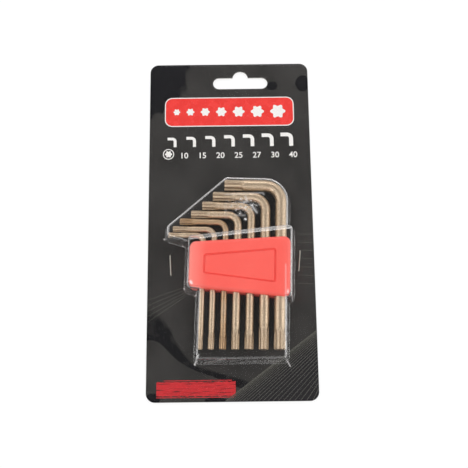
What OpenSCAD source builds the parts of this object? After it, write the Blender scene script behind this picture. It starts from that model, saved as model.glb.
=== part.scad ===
// Carded set of seven L-shaped star keys: the keys stand side by side in a moulded holder,
// and the set lies on a printed card under a clear formed blister that two staples fix.
// The pack lies on its back: +Z is the card's face, +Y points to the hang slot.

/* [Card] */
// Width of the card
card_w = 95; // [90:1:120]
// Height of the card
card_h = 202; // [200:1:240]
// Thickness of the card
card_t = 0.8; // [0.5:0.1:1.5]
// Radius of the card's corners
card_corner_r = 5; // [2:0.5:10]

/* [Hang slot] */
// Overall width of the hang slot
slot_w = 32.8; // [28:0.2:36]
// Height of the slot's straight part
slot_h = 7.4; // [6:0.1:9]
// Width of the round hump that centres the hook
hump_w = 9.3; // [8:0.1:12]
// Height of the hump above the slot's straight part
hump_rise = 4.1; // [3:0.1:6]
// Distance from the card's top edge to the middle of the slot
slot_drop = 12.7; // [11:0.1:16]
// Shift of the slot to the side, over the pack's centre of mass
slot_shift = 6.7; // [0:0.1:9]

/* [Key set] */
// Lean of the key set on the card, in degrees
set_lean = 2; // [0:0.5:3]
// Distance of the smallest key's short arm below the card's middle
first_arm_drop = 8.65; // [8:0.05:9.5]
// Place of the smallest key's shaft, left of the card's middle
first_key_left = 15; // [12:0.5:17]
// Material left between neighbouring bores
key_web = 2.6; // [2:0.1:3.5]
// Radial play of a key in its bore
key_play = 0.06; // [0.04:0.01:0.1]
// Bend radius on a rod's centre line, as a share of its diameter
bend_ratio = 1.4; // [1.3:0.1:1.8]
// Length of the fluted part at each end of a key
flute_len = 9; // [6:0.5:10]
// Length of the shoulder between the fluted part and the rod
shoulder_len = 1; // [0.5:0.1:2]
// Bevel at the tips
tip_bevel = 0.35; // [0.2:0.05:0.5]

/* [Size 10 key] */
// Rod diameter
rod_10 = 3.1; // [2.9:0.1:3.4]
// Star size over the points
star_10 = 2.8; // [2.6:0.05:3]
// Overall length of the long arm
long_10 = 66.4; // [60:0.1:70]
// Overall length of the short arm
short_10 = 21.8; // [19:0.1:24]

/* [Size 15 key] */
// Rod diameter
rod_15 = 3.4; // [3.2:0.1:3.6]
// Star size over the points
star_15 = 3.35; // [3.2:0.05:3.5]
// Overall length of the long arm
long_15 = 70; // [64:0.1:74]
// Overall length of the short arm
short_15 = 25.4; // [22:0.1:27]
// Gap to the next smaller key's short arm
gap_15 = 0.3; // [0.3:0.1:2]

/* [Size 20 key] */
// Rod diameter
rod_20 = 3.5; // [3.3:0.1:3.8]
// Star size over the points
star_20 = 3.95; // [3.8:0.05:4.1]
// Overall length of the long arm
long_20 = 74.2; // [68:0.1:78]
// Overall length of the short arm
short_20 = 28; // [25:0.1:30]
// Gap to the next smaller key's short arm
gap_20 = 0.7; // [0.3:0.1:2]

/* [Size 25 key] */
// Rod diameter
rod_25 = 4.5; // [4.2:0.1:4.7]
// Star size over the points
star_25 = 4.5; // [4.3:0.05:4.7]
// Overall length of the long arm
long_25 = 79.1; // [74:0.1:84]
// Overall length of the short arm
short_25 = 29.2; // [27:0.1:31]
// Gap to the next smaller key's short arm
gap_25 = 0.3; // [0.3:0.1:2]

/* [Size 27 key] */
// Rod diameter
rod_27 = 4.5; // [4.2:0.1:4.7]
// Star size over the points
star_27 = 5.1; // [4.9:0.05:5.2]
// Overall length of the long arm
long_27 = 84.2; // [78:0.1:88]
// Overall length of the short arm
short_27 = 30.5; // [28:0.1:32]
// Gap to the next smaller key's short arm
gap_27 = 0.5; // [0.3:0.1:2]

/* [Size 30 key] */
// Rod diameter
rod_30 = 5.6; // [5.3:0.1:5.8]
// Star size over the points
star_30 = 5.6; // [5.4:0.05:5.8]
// Overall length of the long arm
long_30 = 90.4; // [85:0.1:95]
// Overall length of the short arm
short_30 = 33.2; // [31:0.1:35]
// Gap to the next smaller key's short arm
gap_30 = 0.4; // [0.3:0.1:2]

/* [Size 40 key] */
// Rod diameter
rod_40 = 6.7; // [6.4:0.1:7]
// Star size over the points
star_40 = 6.75; // [6.5:0.05:7]
// Overall length of the long arm
long_40 = 97.6; // [92:0.1:102]
// Overall length of the short arm
short_40 = 36.2; // [34:0.1:38]
// Gap to the next smaller key's short arm
gap_40 = 0.7; // [0.3:0.1:2]

/* [Holder] */
// Thickness of the holder
holder_t = 10.5; // [10:0.1:12]
// Height of the holder at its narrow end
holder_small_h = 26.5; // [22:0.5:28]
// Height of the holder at its wide end
holder_large_h = 34.5; // [30:0.5:36]
// Distance of the holder's centre line below the card's middle
holder_drop = 26.2; // [25.5:0.1:27.5]
// Wall outside the smallest key's bore
holder_small_wall = 6.1; // [3:0.1:7]
// Wall outside the largest key's bore
holder_large_wall = 2.1; // [1.5:0.1:4]
// Radius of the holder's upright corners
holder_corner_r = 4; // [3:0.5:6]
// Radius of the holder's front edges
holder_front_r = 2.2; // [1:0.1:2.5]
// Margin at the ends of the recessed panel on the holder's front
panel_margin = 8; // [6:0.5:9]
// Depth of the recessed panel
panel_depth = 0.5; // [0.2:0.1:0.8]
// Gap between the holder's back and the card
holder_seat = 0.1; // [0.05:0.05:0.3]

/* [Blister] */
// Wall of the formed blister
blister_wall = 0.4; // [0.3:0.05:0.6]
// Gap between the blister's flange and the card
flange_seat = 0.1; // [0.05:0.05:0.2]
// Distance of the flange's edge inside the card's edge
flange_inset = 1; // [0.5:0.1:3]
// Draft of the blister's side walls, in degrees
blister_draft = 10; // [8:0.5:12]
// Gap between the keys and the blister's walls
bay_gap = 0.8; // [0.7:0.1:1.5]
// Gap under the blister's roofs
roof_gap = 0.7; // [0.5:0.1:1.5]
// Gap above the holder's upper edge at its narrow end
small_top_gap = 3.1; // [2:0.1:5]
// Gap above the holder's upper edge at its wide end
large_top_gap = 6.4; // [2:0.1:8]
// Gap around the holder's other edges
holder_side_gap = 0.9; // [0.7:0.1:1.5]
// Free length below the key tips
tip_space = 5.5; // [5:0.1:7]
// Bevel along the roof edges
roof_bevel = 1; // [0.5:0.1:1.2]
// Depth inside a key's or the holder's corner where the bay's round corner is centred
corner_core = 1.5; // [1:0.1:1.5]

/* [Staples] */
// Diameter of the staple wire
wire_d = 0.7; // [0.5:0.05:0.8]
// Overall length of a staple's crown
crown_len = 12.2; // [10:0.1:14]
// Play of the staple legs in their holes
leg_play = 0.1; // [0.05:0.05:0.2]
// Distance of the left staple from the blister's wall
left_staple_gap = 8.2; // [3:0.1:9]
// Distance of the right staple from the blister's wall
right_staple_gap = 2.7; // [2:0.1:4]
// Distance of the left staple above the holder's centre line
left_staple_rise = 1; // [0:0.1:6]
// Distance of the right staple above the holder's centre line
right_staple_rise = 5.3; // [0:0.1:6]
// Turn of the left staple against the key set, in degrees
left_staple_turn = 4.4; // [-6:0.1:6]
// Turn of the right staple against the key set, in degrees
right_staple_turn = -3.6; // [-6:0.1:6]

/* [Hidden] */
$fn = 48;
hull_fn = 28;
overcut = 1;

rod_d = [rod_10, rod_15, rod_20, rod_25, rod_27, rod_30, rod_40];
star_d = [star_10, star_15, star_20, star_25, star_27, star_30, star_40];
long_arm = [long_10, long_15, long_20, long_25, long_27, long_30, long_40];
short_arm = [short_10, short_15, short_20, short_25, short_27, short_30, short_40];
arm_gap = [0, gap_15, gap_20, gap_25, gap_27, gap_30, gap_40];
last = len(rod_d) - 1;

// Six-lobe star: valley over point size, and the flute's radius over the point size
star_valley = 0.72;
flute_share = 0.17;
// Run of the roof bevel inwards, over its height
bevel_run = 0.8;
// Margin above and below the holder's panel, over the margin at its ends
panel_upright_share = 0.91;
// Step between the posts that follow the largest key's bend, in degrees
bend_step = 15;

// The bore takes the larger of a key's rod and its star
function widest(i) = max(rod_d[i], star_d[i]);
function bore_d(i) = widest(i) + 2 * key_play;
function bend_r(i) = bend_ratio * rod_d[i];
// Place of each shaft across the set, and of each short arm along it
function key_u(i) = i == 0 ? -first_key_left : key_u(i - 1) + (bore_d(i - 1) + bore_d(i)) / 2 + key_web;
function arm_v(i) = i == 0 ? -first_arm_drop : arm_v(i - 1) + (widest(i - 1) + widest(i)) / 2 + arm_gap[i];
function tip_v(i) = arm_v(i) + rod_d[i] / 2 - long_arm[i];
lowest_tip = min([for (i = [0 : last]) tip_v(i)]);
function end_u(i) = key_u(i) + rod_d[i] / 2 - short_arm[i];

holder_left = key_u(0) - bore_d(0) / 2 - holder_small_wall;
holder_right = key_u(last) + bore_d(last) / 2 + holder_large_wall;
holder_v = -holder_drop;
// The holder's height and its lower edge at a place across the set
function holder_h(u) =
    holder_small_h + (holder_large_h - holder_small_h) * (u - holder_left) / (holder_right - holder_left);
function holder_low(u) = holder_v - holder_h(u) / 2;
key_z = holder_seat + holder_t / 2;

flange_z = flange_seat;
flange_top = flange_z + blister_wall;
// Drop of the hollow's cutter below the flange, so that it cuts right through
hollow_sink = 0.01 * blister_wall;
draft = tan(blister_draft);
key_roof = key_z + widest(last) / 2 + roof_gap + blister_wall;
holder_roof = holder_seat + holder_t + roof_gap + blister_wall;
// Room outside a key at the flange's level, so that the drafted wall clears the key's middle
key_room = bay_gap + blister_wall + (key_z - flange_top) * draft;
holder_room = holder_side_gap + blister_wall + (holder_t - holder_front_r - flange_top) * draft;

leg_pitch = crown_len - wire_d;
// Middle of each staple on the card's face, and its turn
left_staple = [holder_left - holder_room - left_staple_gap, holder_v + left_staple_rise, left_staple_turn];
right_staple = [holder_right + holder_room + right_staple_gap, holder_v + right_staple_rise, right_staple_turn];

// Places its children on the card's face, leaning as the key set does
module on_card() {
    translate([0, 0, card_t])
        rotate([0, 0, -set_lean])
            children();
}

// Plate with rounded corners, drawn from its middle
module plate(w, h, t, r) {
    difference() {
        translate([-w / 2, -h / 2, 0])
            cube([w, h, t]);
        for (sx = [-1, 1], sy = [-1, 1])
            translate([sx * (w / 2 - r), sy * (h / 2 - r), 0])
                difference() {
                    translate([sx > 0 ? 0 : -r - overcut, sy > 0 ? 0 : -r - overcut, -overcut])
                        cube([r + overcut, r + overcut, t + 2 * overcut]);
                    translate([0, 0, -2 * overcut])
                        cylinder(r = r, h = t + 4 * overcut);
                }
    }
}

// Hang slot with round ends and a round hump, as a cutter of height t
module hang_slot(t) {
    translate([slot_shift, card_h / 2 - slot_drop, 0]) {
        for (s = [-1, 1])
            translate([s * (slot_w - slot_h) / 2, 0, 0])
                cylinder(d = slot_h, h = t);
        translate([-(slot_w - slot_h) / 2, -slot_h / 2, 0])
            cube([slot_w - slot_h, slot_h, t]);
        translate([0, slot_h / 2 + hump_rise - hump_w / 2, 0])
            cylinder(d = hump_w, h = t);
    }
}

// Places its children at the middle of a staple, turned as the staple is
module at_staple(place) {
    translate([place[0], place[1], 0])
        rotate([0, 0, place[2]])
            children();
}

// Runs its children at the two legs of a staple
module at_legs(place) {
    at_staple(place)
        for (s = [-1, 1])
            translate([0, s * leg_pitch / 2, 0])
                children();
}

// Clearance holes for all four staple legs
module leg_holes(z, h) {
    for (place = [left_staple, right_staple])
        at_legs(place)
            translate([0, 0, z])
                cylinder(d = wire_d + 2 * leg_play, h = h);
}

// Printed card with the hang slot and the staple holes
module card() {
    color("#3c3c3c")
        difference() {
            plate(card_w, card_h, card_t, card_corner_r);
            translate([0, 0, -overcut])
                hang_slot(card_t + 2 * overcut);
            on_card()
                leg_holes(-card_t - overcut, card_t + 2 * overcut);
        }
}

// One corner of a bay: a drafted post with a bevelled top, inside is 0 for the outer face
module bay_corner(u, v, room, roof, inside) {
    rise = roof - flange_z - inside;
    base_r = corner_core + room - inside;
    wall_h = rise - roof_bevel;
    edge_r = base_r - wall_h * draft;
    translate([u, v, flange_z]) {
        cylinder(r1 = base_r, r2 = edge_r, h = wall_h, $fn = hull_fn);
        translate([0, 0, wall_h])
            cylinder(r1 = edge_r, r2 = edge_r - roof_bevel * bevel_run, h = roof_bevel, $fn = hull_fn);
    }
}

// Bay over the short arms: it runs round every arm's end and the largest key's bend
module key_bay(inside) {
    top_bend = bend_r(last) + rod_d[last] / 2 - corner_core;
    arm_ends = [for (i = [0 : last]) [end_u(i) + corner_core, arm_v(i) + rod_d[i] / 2 - corner_core]];
    left_side = [[end_u(0) + corner_core, arm_v(1)],
                 [end_u(0) + corner_core, arm_v(0) - rod_d[0] / 2 + corner_core]];
    bend_arc = [for (a = [0 : bend_step : 90])
                [key_u(last) - bend_r(last) + top_bend * cos(a),
                 arm_v(last) - bend_r(last) + top_bend * sin(a)]];
    right_side = [[key_u(last) + rod_d[last] / 2 - corner_core, holder_v]];
    hull()
        for (c = concat(arm_ends, left_side, bend_arc, right_side))
            bay_corner(c[0], c[1], key_room, key_roof, inside);
}

// Taller bay over the holder
module holder_bay(inside) {
    ends = [[holder_left + corner_core, holder_small_h, small_top_gap],
            [holder_right - corner_core, holder_large_h, large_top_gap]];
    hull()
        for (end = ends, s = [-1, 1]) {
            edge_gap = s > 0 ? end[2] - holder_side_gap : 0;
            bay_corner(end[0], holder_v + s * (end[1] / 2 + edge_gap - corner_core),
                       holder_room, holder_roof, inside);
        }
}

// Bay over the long arms and their tips: its roof falls from the holder's to the keys' height, and its
// lower edge is square to the card
module tip_bay(inside) {
    left = key_u(0) - widest(0) / 2 + corner_core;
    right = key_u(last) + widest(last) / 2 - corner_core;
    low = lowest_tip - tip_space + corner_core;
    right_low = low + (right - left) * tan(set_lean);
    hull() {
        for (u = [left, right], v = [holder_v, holder_low(u)])
            bay_corner(u, v, key_room, holder_roof, inside);
        bay_corner(left, low, key_room, key_roof, inside);
        bay_corner(right, right_low, key_room, key_roof, inside);
    }
}

// Clear blister: a flange over the whole card with three bays formed up from it
module blister() {
    color("#dfe6ea", 0.3)
        difference() {
            union() {
                difference() {
                    translate([0, 0, card_t + flange_z])
                        plate(card_w - 2 * flange_inset, card_h - 2 * flange_inset, blister_wall,
                              card_corner_r - flange_inset);
                    hang_slot(card_t + flange_top + overcut);
                    on_card()
                        leg_holes(0, flange_top + overcut);
                }
                on_card() {
                    key_bay(0);
                    holder_bay(0);
                    tip_bay(0);
                }
            }
            on_card()
                translate([0, 0, -hollow_sink]) {
                    key_bay(blister_wall);
                    holder_bay(blister_wall);
                    tip_bay(blister_wall);
                }
        }
}

// Wire staple: a round crown on the flange and two straight legs through the card
module staple(place) {
    crown_z = flange_top + wire_d / 2;
    color("#b9bcc0")
        on_card() {
            at_legs(place) {
                translate([0, 0, -card_t])
                    cylinder(d = wire_d, h = card_t + crown_z);
                translate([0, 0, crown_z])
                    sphere(d = wire_d);
            }
            at_staple(place)
                translate([0, -leg_pitch / 2, crown_z])
                    rotate([-90, 0, 0])
                        cylinder(d = wire_d, h = leg_pitch);
        }
}

// One upright corner of the holder, rounded at the front edge
module holder_corner() {
    cylinder(r = holder_corner_r, h = holder_t - holder_front_r, $fn = hull_fn);
    translate([0, 0, holder_t - holder_front_r])
        rotate_extrude($fn = hull_fn)
            intersection() {
                translate([holder_corner_r - holder_front_r, 0])
                    circle(r = holder_front_r, $fn = hull_fn);
                square(holder_corner_r);
            }
}

// Moulded holder: a tapered block drilled for every key, with a recessed panel
module holder() {
    color("#ff665f")
        on_card()
            translate([0, 0, holder_seat])
                difference() {
                    hull()
                        for (s = [-1, 1]) {
                            translate([holder_left + holder_corner_r,
                                       holder_v + s * (holder_small_h / 2 - holder_corner_r), 0])
                                holder_corner();
                            translate([holder_right - holder_corner_r,
                                       holder_v + s * (holder_large_h / 2 - holder_corner_r), 0])
                                holder_corner();
                        }
                    for (i = [0 : last])
                        translate([key_u(i), holder_v - holder_large_h, holder_t / 2])
                            rotate([-90, 0, 0])
                                cylinder(d = bore_d(i), h = 2 * holder_large_h);
                    translate([0, 0, holder_t - panel_depth])
                        linear_extrude(height = panel_depth + overcut)
                            polygon([for (c = [[0, -1], [1, -1], [1, 1], [0, 1]]) panel_point(c[0], c[1])]);
                }
}

// Corner of the recessed panel: side 0 is the narrow end, s is 1 at the upper edge
function panel_point(side, s) =
    [side == 0 ? holder_left + panel_margin : holder_right - panel_margin,
     holder_v + s * ((side == 0 ? holder_small_h : holder_large_h) / 2 - panel_margin * panel_upright_share)];

// Straight rod along +Z with its fluted star end at the origin
module star_rod(i, length) {
    flute_r = flute_share * star_d[i];
    flute_c = star_valley * star_d[i] / 2 + flute_r;
    difference() {
        union() {
            cylinder(d1 = star_d[i] - 2 * tip_bevel, d2 = star_d[i], h = tip_bevel);
            translate([0, 0, tip_bevel])
                cylinder(d = star_d[i], h = flute_len - tip_bevel);
            translate([0, 0, flute_len])
                cylinder(d1 = star_d[i], d2 = rod_d[i], h = shoulder_len);
            translate([0, 0, flute_len + shoulder_len])
                cylinder(d = rod_d[i], h = length - flute_len - shoulder_len);
        }
        for (a = [0 : 60 : 300])
            rotate([0, 0, a])
                translate([flute_c, 0, -overcut])
                    cylinder(r = flute_r, h = flute_len + shoulder_len / 2 + overcut);
    }
}

// L-shaped key with a star at both ends
module star_key(i) {
    straight = long_arm[i] - rod_d[i] / 2 - bend_r(i);
    color("#beaa8c")
        on_card()
            translate([key_u(i), tip_v(i), key_z]) {
                rotate([-90, 0, 0])
                    star_rod(i, straight);
                translate([-bend_r(i), straight, 0])
                    rotate_extrude(angle = 90)
                        translate([bend_r(i), 0])
                            circle(d = rod_d[i]);
                translate([end_u(i) - key_u(i), arm_v(i) - tip_v(i), 0])
                    rotate([0, 90, 0])
                        star_rod(i, short_arm[i] - rod_d[i] / 2 - bend_r(i));
            }
}

card();
blister();
staple(left_staple);  // staple_left
staple(right_staple);  // staple_right
holder();
star_key(0);  // key_10
star_key(1);  // key_15
star_key(2);  // key_20
star_key(3);  // key_25
star_key(4);  // key_27
star_key(5);  // key_30
star_key(6);  // key_40
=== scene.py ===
from math import atan2, ceil, cos, exp, pi, radians, sin, sqrt, tan

import bmesh
import bpy
from mathutils import Matrix, Vector
from mathutils.geometry import convex_hull_2d, delaunay_2d_cdt


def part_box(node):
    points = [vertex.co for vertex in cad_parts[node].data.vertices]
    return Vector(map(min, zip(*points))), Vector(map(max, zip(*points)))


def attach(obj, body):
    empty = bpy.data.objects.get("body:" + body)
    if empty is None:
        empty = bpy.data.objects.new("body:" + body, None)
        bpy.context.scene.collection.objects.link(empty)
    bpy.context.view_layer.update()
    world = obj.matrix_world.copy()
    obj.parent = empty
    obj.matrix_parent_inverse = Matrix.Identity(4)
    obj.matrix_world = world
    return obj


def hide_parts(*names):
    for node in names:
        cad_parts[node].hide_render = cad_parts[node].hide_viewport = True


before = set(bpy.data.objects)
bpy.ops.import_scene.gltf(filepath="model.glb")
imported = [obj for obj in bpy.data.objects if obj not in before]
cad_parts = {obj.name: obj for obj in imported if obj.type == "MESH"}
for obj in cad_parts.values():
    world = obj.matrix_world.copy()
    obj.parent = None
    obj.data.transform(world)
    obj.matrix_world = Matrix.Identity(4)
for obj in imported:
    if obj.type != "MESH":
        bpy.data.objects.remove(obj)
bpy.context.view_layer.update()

# Studio: a copy stand over a white table. The camera hangs nearly straight above the card, a little
# towards its lower edge, behind a dark hood that keeps the glossy sheet clear of the white walls.
MM = 0.001
PHOTO_SIDE = 468
FOCAL_PIXELS = 868.6
SENSOR_W = 36.0
AIM = Vector((1.88, -5.68, 0)) * MM
CAMERA_DISTANCE = 500.6 * MM
CAMERA_ELEVATION = radians(74.57)
CAMERA_ROLL = radians(-0.69)
forward = Vector((0, cos(CAMERA_ELEVATION), -sin(CAMERA_ELEVATION)))
right = Vector((1, 0, 0))
up = right.cross(forward)
camera_right = right * cos(CAMERA_ROLL) + up * sin(CAMERA_ROLL)
camera_up = up * cos(CAMERA_ROLL) - right * sin(CAMERA_ROLL)
camera = bpy.data.objects.new("camera", bpy.data.cameras.new("camera"))
bpy.context.scene.collection.objects.link(camera)
camera.data.sensor_width = SENSOR_W
camera.data.lens = FOCAL_PIXELS * SENSOR_W / PHOTO_SIDE
camera.data.clip_start = 10 * MM
turned = Matrix((camera_right, camera_up, -forward)).transposed().to_4x4()
camera.matrix_world = Matrix.Translation(AIM - forward * CAMERA_DISTANCE) @ turned
bpy.context.scene.camera = camera
bpy.context.scene.view_settings.view_transform = "Standard"


def linear(code):
    """An sRGB hex colour as linear RGBA."""
    parts = [int(code[i:i + 2], 16) / 255 for i in (1, 3, 5)]
    return [c / 12.92 if c <= 0.04045 else ((c + 0.055) / 1.055) ** 2.4 for c in parts] + [1.0]


def add(tree, kind, inputs=None, **settings):
    """Adds a node with its settings. An input takes a value, a socket, or a node's first live output."""
    made = tree.nodes.new(kind)
    for name, value in settings.items():
        setattr(made, name, value)
    for key, value in (inputs or {}).items():
        if isinstance(value, bpy.types.Node):
            value = next(socket for socket in value.outputs if socket.enabled)
        if isinstance(value, bpy.types.NodeSocket):
            tree.links.new(value, made.inputs[key])
        else:
            made.inputs[key].default_value = value
    return made


def new_material(name):
    """An empty node material and its tree."""
    made = bpy.data.materials.new(name)
    made.use_nodes = True
    made.node_tree.nodes.clear()
    return made, made.node_tree


WALL_LIGHT, HOOD_LIGHT = 1.0, 0.1
HOOD_ACROSS, HOOD_ALONG, HOOD_RIM = sin(radians(12)), sin(radians(18)), 2.0
world = bpy.data.worlds.new("studio")
bpy.context.scene.world = world
world.use_nodes = True
sky = world.node_tree
sky.nodes.clear()
direction = add(sky, "ShaderNodeTexCoord").outputs["Generated"]
sideways = add(sky, "ShaderNodeVectorMath", {0: direction, 1: (1 / HOOD_ACROSS, 0, 0)},
               operation="DOT_PRODUCT")
lengthways = add(sky, "ShaderNodeVectorMath",
                 {0: direction, 1: Vector((0, sin(CAMERA_ELEVATION), -cos(CAMERA_ELEVATION))) / HOOD_ALONG},
                 operation="DOT_PRODUCT")
off_hood = add(sky, "ShaderNodeCombineXYZ", {0: sideways, 1: lengthways})
off_hood = add(sky, "ShaderNodeVectorMath", {0: off_hood}, operation="LENGTH")
level = add(sky, "ShaderNodeMapRange",
            {"Value": off_hood, "From Min": 1.0, "From Max": HOOD_RIM,
             "To Min": HOOD_LIGHT, "To Max": WALL_LIGHT}, interpolation_type="SMOOTHSTEP")
glow = add(sky, "ShaderNodeBackground", {"Color": linear("#ffffff"), "Strength": level})
add(sky, "ShaderNodeOutputWorld", {"Surface": glow})


def softbox(name, place, width, length, power):
    """A rectangular lamp that faces the middle of the card."""
    lamp = bpy.data.lights.new(name, "AREA")
    lamp.shape = "RECTANGLE"
    lamp.size, lamp.size_y = width, length
    lamp.energy = power
    stand = bpy.data.objects.new(name, lamp)
    bpy.context.scene.collection.objects.link(stand)
    stand.location = place
    stand.rotation_mode = "QUATERNION"
    stand.rotation_quaternion = (-Vector(place)).to_track_quat("-Z", "Y")


softbox("left_softbox", (-0.85, 0.10, 0.60), 0.3, 0.8, 1.6)
softbox("right_softbox", (0.85, 0.10, 0.55), 0.3, 0.8, 1.8)
softbox("far_softbox", (0.05, 0.95, 0.70), 1.0, 0.35, 3.4)
softbox("front_left_lamp", (-0.50, -0.75, 0.75), 0.26, 0.26, 1.0)
softbox("front_right_lamp", (0.55, -0.70, 0.70), 0.26, 0.26, 1.0)

FLOOR_SIDE = 8.0
FLOOR_DROP = 0.3 * MM
table_mesh = bpy.data.meshes.new("table")
half = FLOOR_SIDE / 2
floor_corners = ((-half, -half), (half, -half), (half, half), (-half, half))
table_mesh.from_pydata([(x, y, -FLOOR_DROP) for x, y in floor_corners], [], [(0, 1, 2, 3)])
table = bpy.data.objects.new("table", table_mesh)
bpy.context.scene.collection.objects.link(table)
# White laminate: plain to the lamps, and white to the eye with a faint trace of the shadow
SHADOW_SHARE = 0.25
laminate, tree = new_material("white_laminate")
ray = add(tree, "ShaderNodeLightPath")
seen = add(tree, "ShaderNodeMath", {0: ray.outputs["Is Camera Ray"], 1: ray.outputs["Is Glossy Ray"]},
           operation="MAXIMUM")
seen = add(tree, "ShaderNodeMath", {0: seen, 1: ray.outputs["Is Transmission Ray"]}, operation="MAXIMUM")
share = add(tree, "ShaderNodeMath", {0: seen, 1: 1 - SHADOW_SHARE}, operation="MULTIPLY")
plain = add(tree, "ShaderNodeBsdfDiffuse", {"Color": linear("#f2f2f2")})
white = add(tree, "ShaderNodeEmission", {"Color": linear("#ffffff"), "Strength": 1.0})
mixed = add(tree, "ShaderNodeMixShader", {0: share, 1: plain, 2: white})
add(tree, "ShaderNodeOutputMaterial", {"Surface": mixed})
table_mesh.materials.append(laminate)

# Card: solid bleached board, printed black on the face, laminated and die-cut with a hang slot.
# The print is offset ink: a red band, white key shapes and size numbers, grey pinstripes and a label.
card_low, card_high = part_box("card")
CARD_T = card_high.z / MM
INK_T = 0.02
INK_LOW, INK_HIGH = CARD_T, CARD_T + INK_T
BOARD_CORE_TOP = 0.72 * MM

# Laminated board: black ink with a soft mottle and dust. It is darker in the corner wedge and along a
# curved sweep. It is painted darker still in patches: a painted shade for the dark reflection where the
# sheet above clings to it. The back is pale grey.
board, tree = new_material("laminated_board")
where = add(tree, "ShaderNodeTexCoord").outputs["Object"]
MOTTLE, GRAIN, DUST = 1 / (30 * MM), 1 / (0.8 * MM), 1 / (2.2 * MM)
mottle = add(tree, "ShaderNodeTexNoise", {"Vector": where, "Scale": MOTTLE, "Detail": 3.0})
ink_shade = add(tree, "ShaderNodeValToRGB", {0: mottle})
ink_shade.color_ramp.elements[0].position = 0.35
ink_shade.color_ramp.elements[0].color = linear("#2e2d2c")
ink_shade.color_ramp.elements[1].position = 0.65
ink_shade.color_ramp.elements[1].color = linear("#3b3a39")
depth = add(tree, "ShaderNodeSeparateXYZ", {0: where})
SWEEP_LEFT, SWEEP_RIGHT, SWEEP_LOW, SWEEP_HIGH = -48.0, 12.0, -100.0, -50.0
SWEEP_UPPER = ((-48, -52.6), (-42, -55.8), (-35.6, -61), (-31.1, -69.5), (-26, -76.8), (-20.5, -81.6),
               (-9.4, -85.3), (1.6, -88.6), (12, -92))
SWEEP_LOWER = ((-48, -67), (-42, -67.7), (-34.4, -74.4), (-28.8, -79.5), (-20.5, -84), (-9.5, -88),
               (2, -93), (12, -98))
SWEEP_FADES, SWEEP_FADE_END = (7.0, 1.6), 0.45
across = add(tree, "ShaderNodeMapRange",
             {"Value": depth.outputs["X"], "From Min": SWEEP_LEFT * MM, "From Max": SWEEP_RIGHT * MM})
sweep_edges = []
for edge_points in (SWEEP_UPPER, SWEEP_LOWER):
    curve = add(tree, "ShaderNodeFloatCurve", {"Value": across})
    knots = [((x - SWEEP_LEFT) / (SWEEP_RIGHT - SWEEP_LEFT), (y - SWEEP_LOW) / (SWEEP_HIGH - SWEEP_LOW))
             for x, y in edge_points]
    line = curve.mapping.curves[0].points
    line[0].location, line[1].location = knots[0], knots[-1]
    for knot in knots[1:-1]:
        line.new(*knot)
    curve.mapping.update()
    sweep_edges.append(add(tree, "ShaderNodeMapRange",
                           {"Value": curve, "To Min": SWEEP_LOW * MM, "To Max": SWEEP_HIGH * MM}))
fade = add(tree, "ShaderNodeMapRange", {"Value": across, "From Max": SWEEP_FADE_END,
                                        "To Min": SWEEP_FADES[0] * MM, "To Max": SWEEP_FADES[1] * MM})
drop = add(tree, "ShaderNodeMath", {0: sweep_edges[0], 1: depth.outputs["Y"]}, operation="SUBTRACT")
drop = add(tree, "ShaderNodeMath", {0: drop, 1: fade}, operation="DIVIDE")
sunk = add(tree, "ShaderNodeMapRange", {"Value": drop, "From Min": -1.0, "From Max": 0.15},
           interpolation_type="SMOOTHSTEP")
within = add(tree, "ShaderNodeMath", {0: depth.outputs["Y"], 1: sweep_edges[1]}, operation="SUBTRACT")
within = add(tree, "ShaderNodeMapRange", {"Value": within, "From Max": 0.5 * MM})
cloud = add(tree, "ShaderNodeTexNoise", {"Vector": where, "Scale": 1 / (6 * MM), "Detail": 3.0})
cloud = add(tree, "ShaderNodeMapRange", {"Value": cloud, "From Min": 0.35, "From Max": 0.5,
                                         "To Min": 0.7, "To Max": 1.0})
sweep = add(tree, "ShaderNodeMath", {0: sunk, 1: within}, operation="MULTIPLY")
sweep = add(tree, "ShaderNodeMath", {0: sweep, 1: cloud}, operation="MULTIPLY")
swept = add(tree, "ShaderNodeMix", {0: sweep, 6: ink_shade, 7: linear("#09090d")}, data_type="RGBA")
WEDGE_START, WEDGE_END = Vector((-4.0, -101.0, CARD_T)) * MM, Vector((47.4, -62.2, CARD_T)) * MM
wedge_run = WEDGE_END - WEDGE_START
wedge_out = Vector((wedge_run.y, -wedge_run.x, 0)).normalized()
beyond = add(tree, "ShaderNodeVectorMath", {0: where, 1: wedge_out}, operation="DOT_PRODUCT")
in_wedge = add(tree, "ShaderNodeMath", {0: beyond, 1: wedge_out.dot(WEDGE_START)}, operation="GREATER_THAN")
wedged = add(tree, "ShaderNodeMix", {0: in_wedge, 6: swept, 7: linear("#222124")}, data_type="RGBA")
PATCH_WAVE, PATCH_SHIFT = 1 / (7 * MM), 0.5
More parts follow.
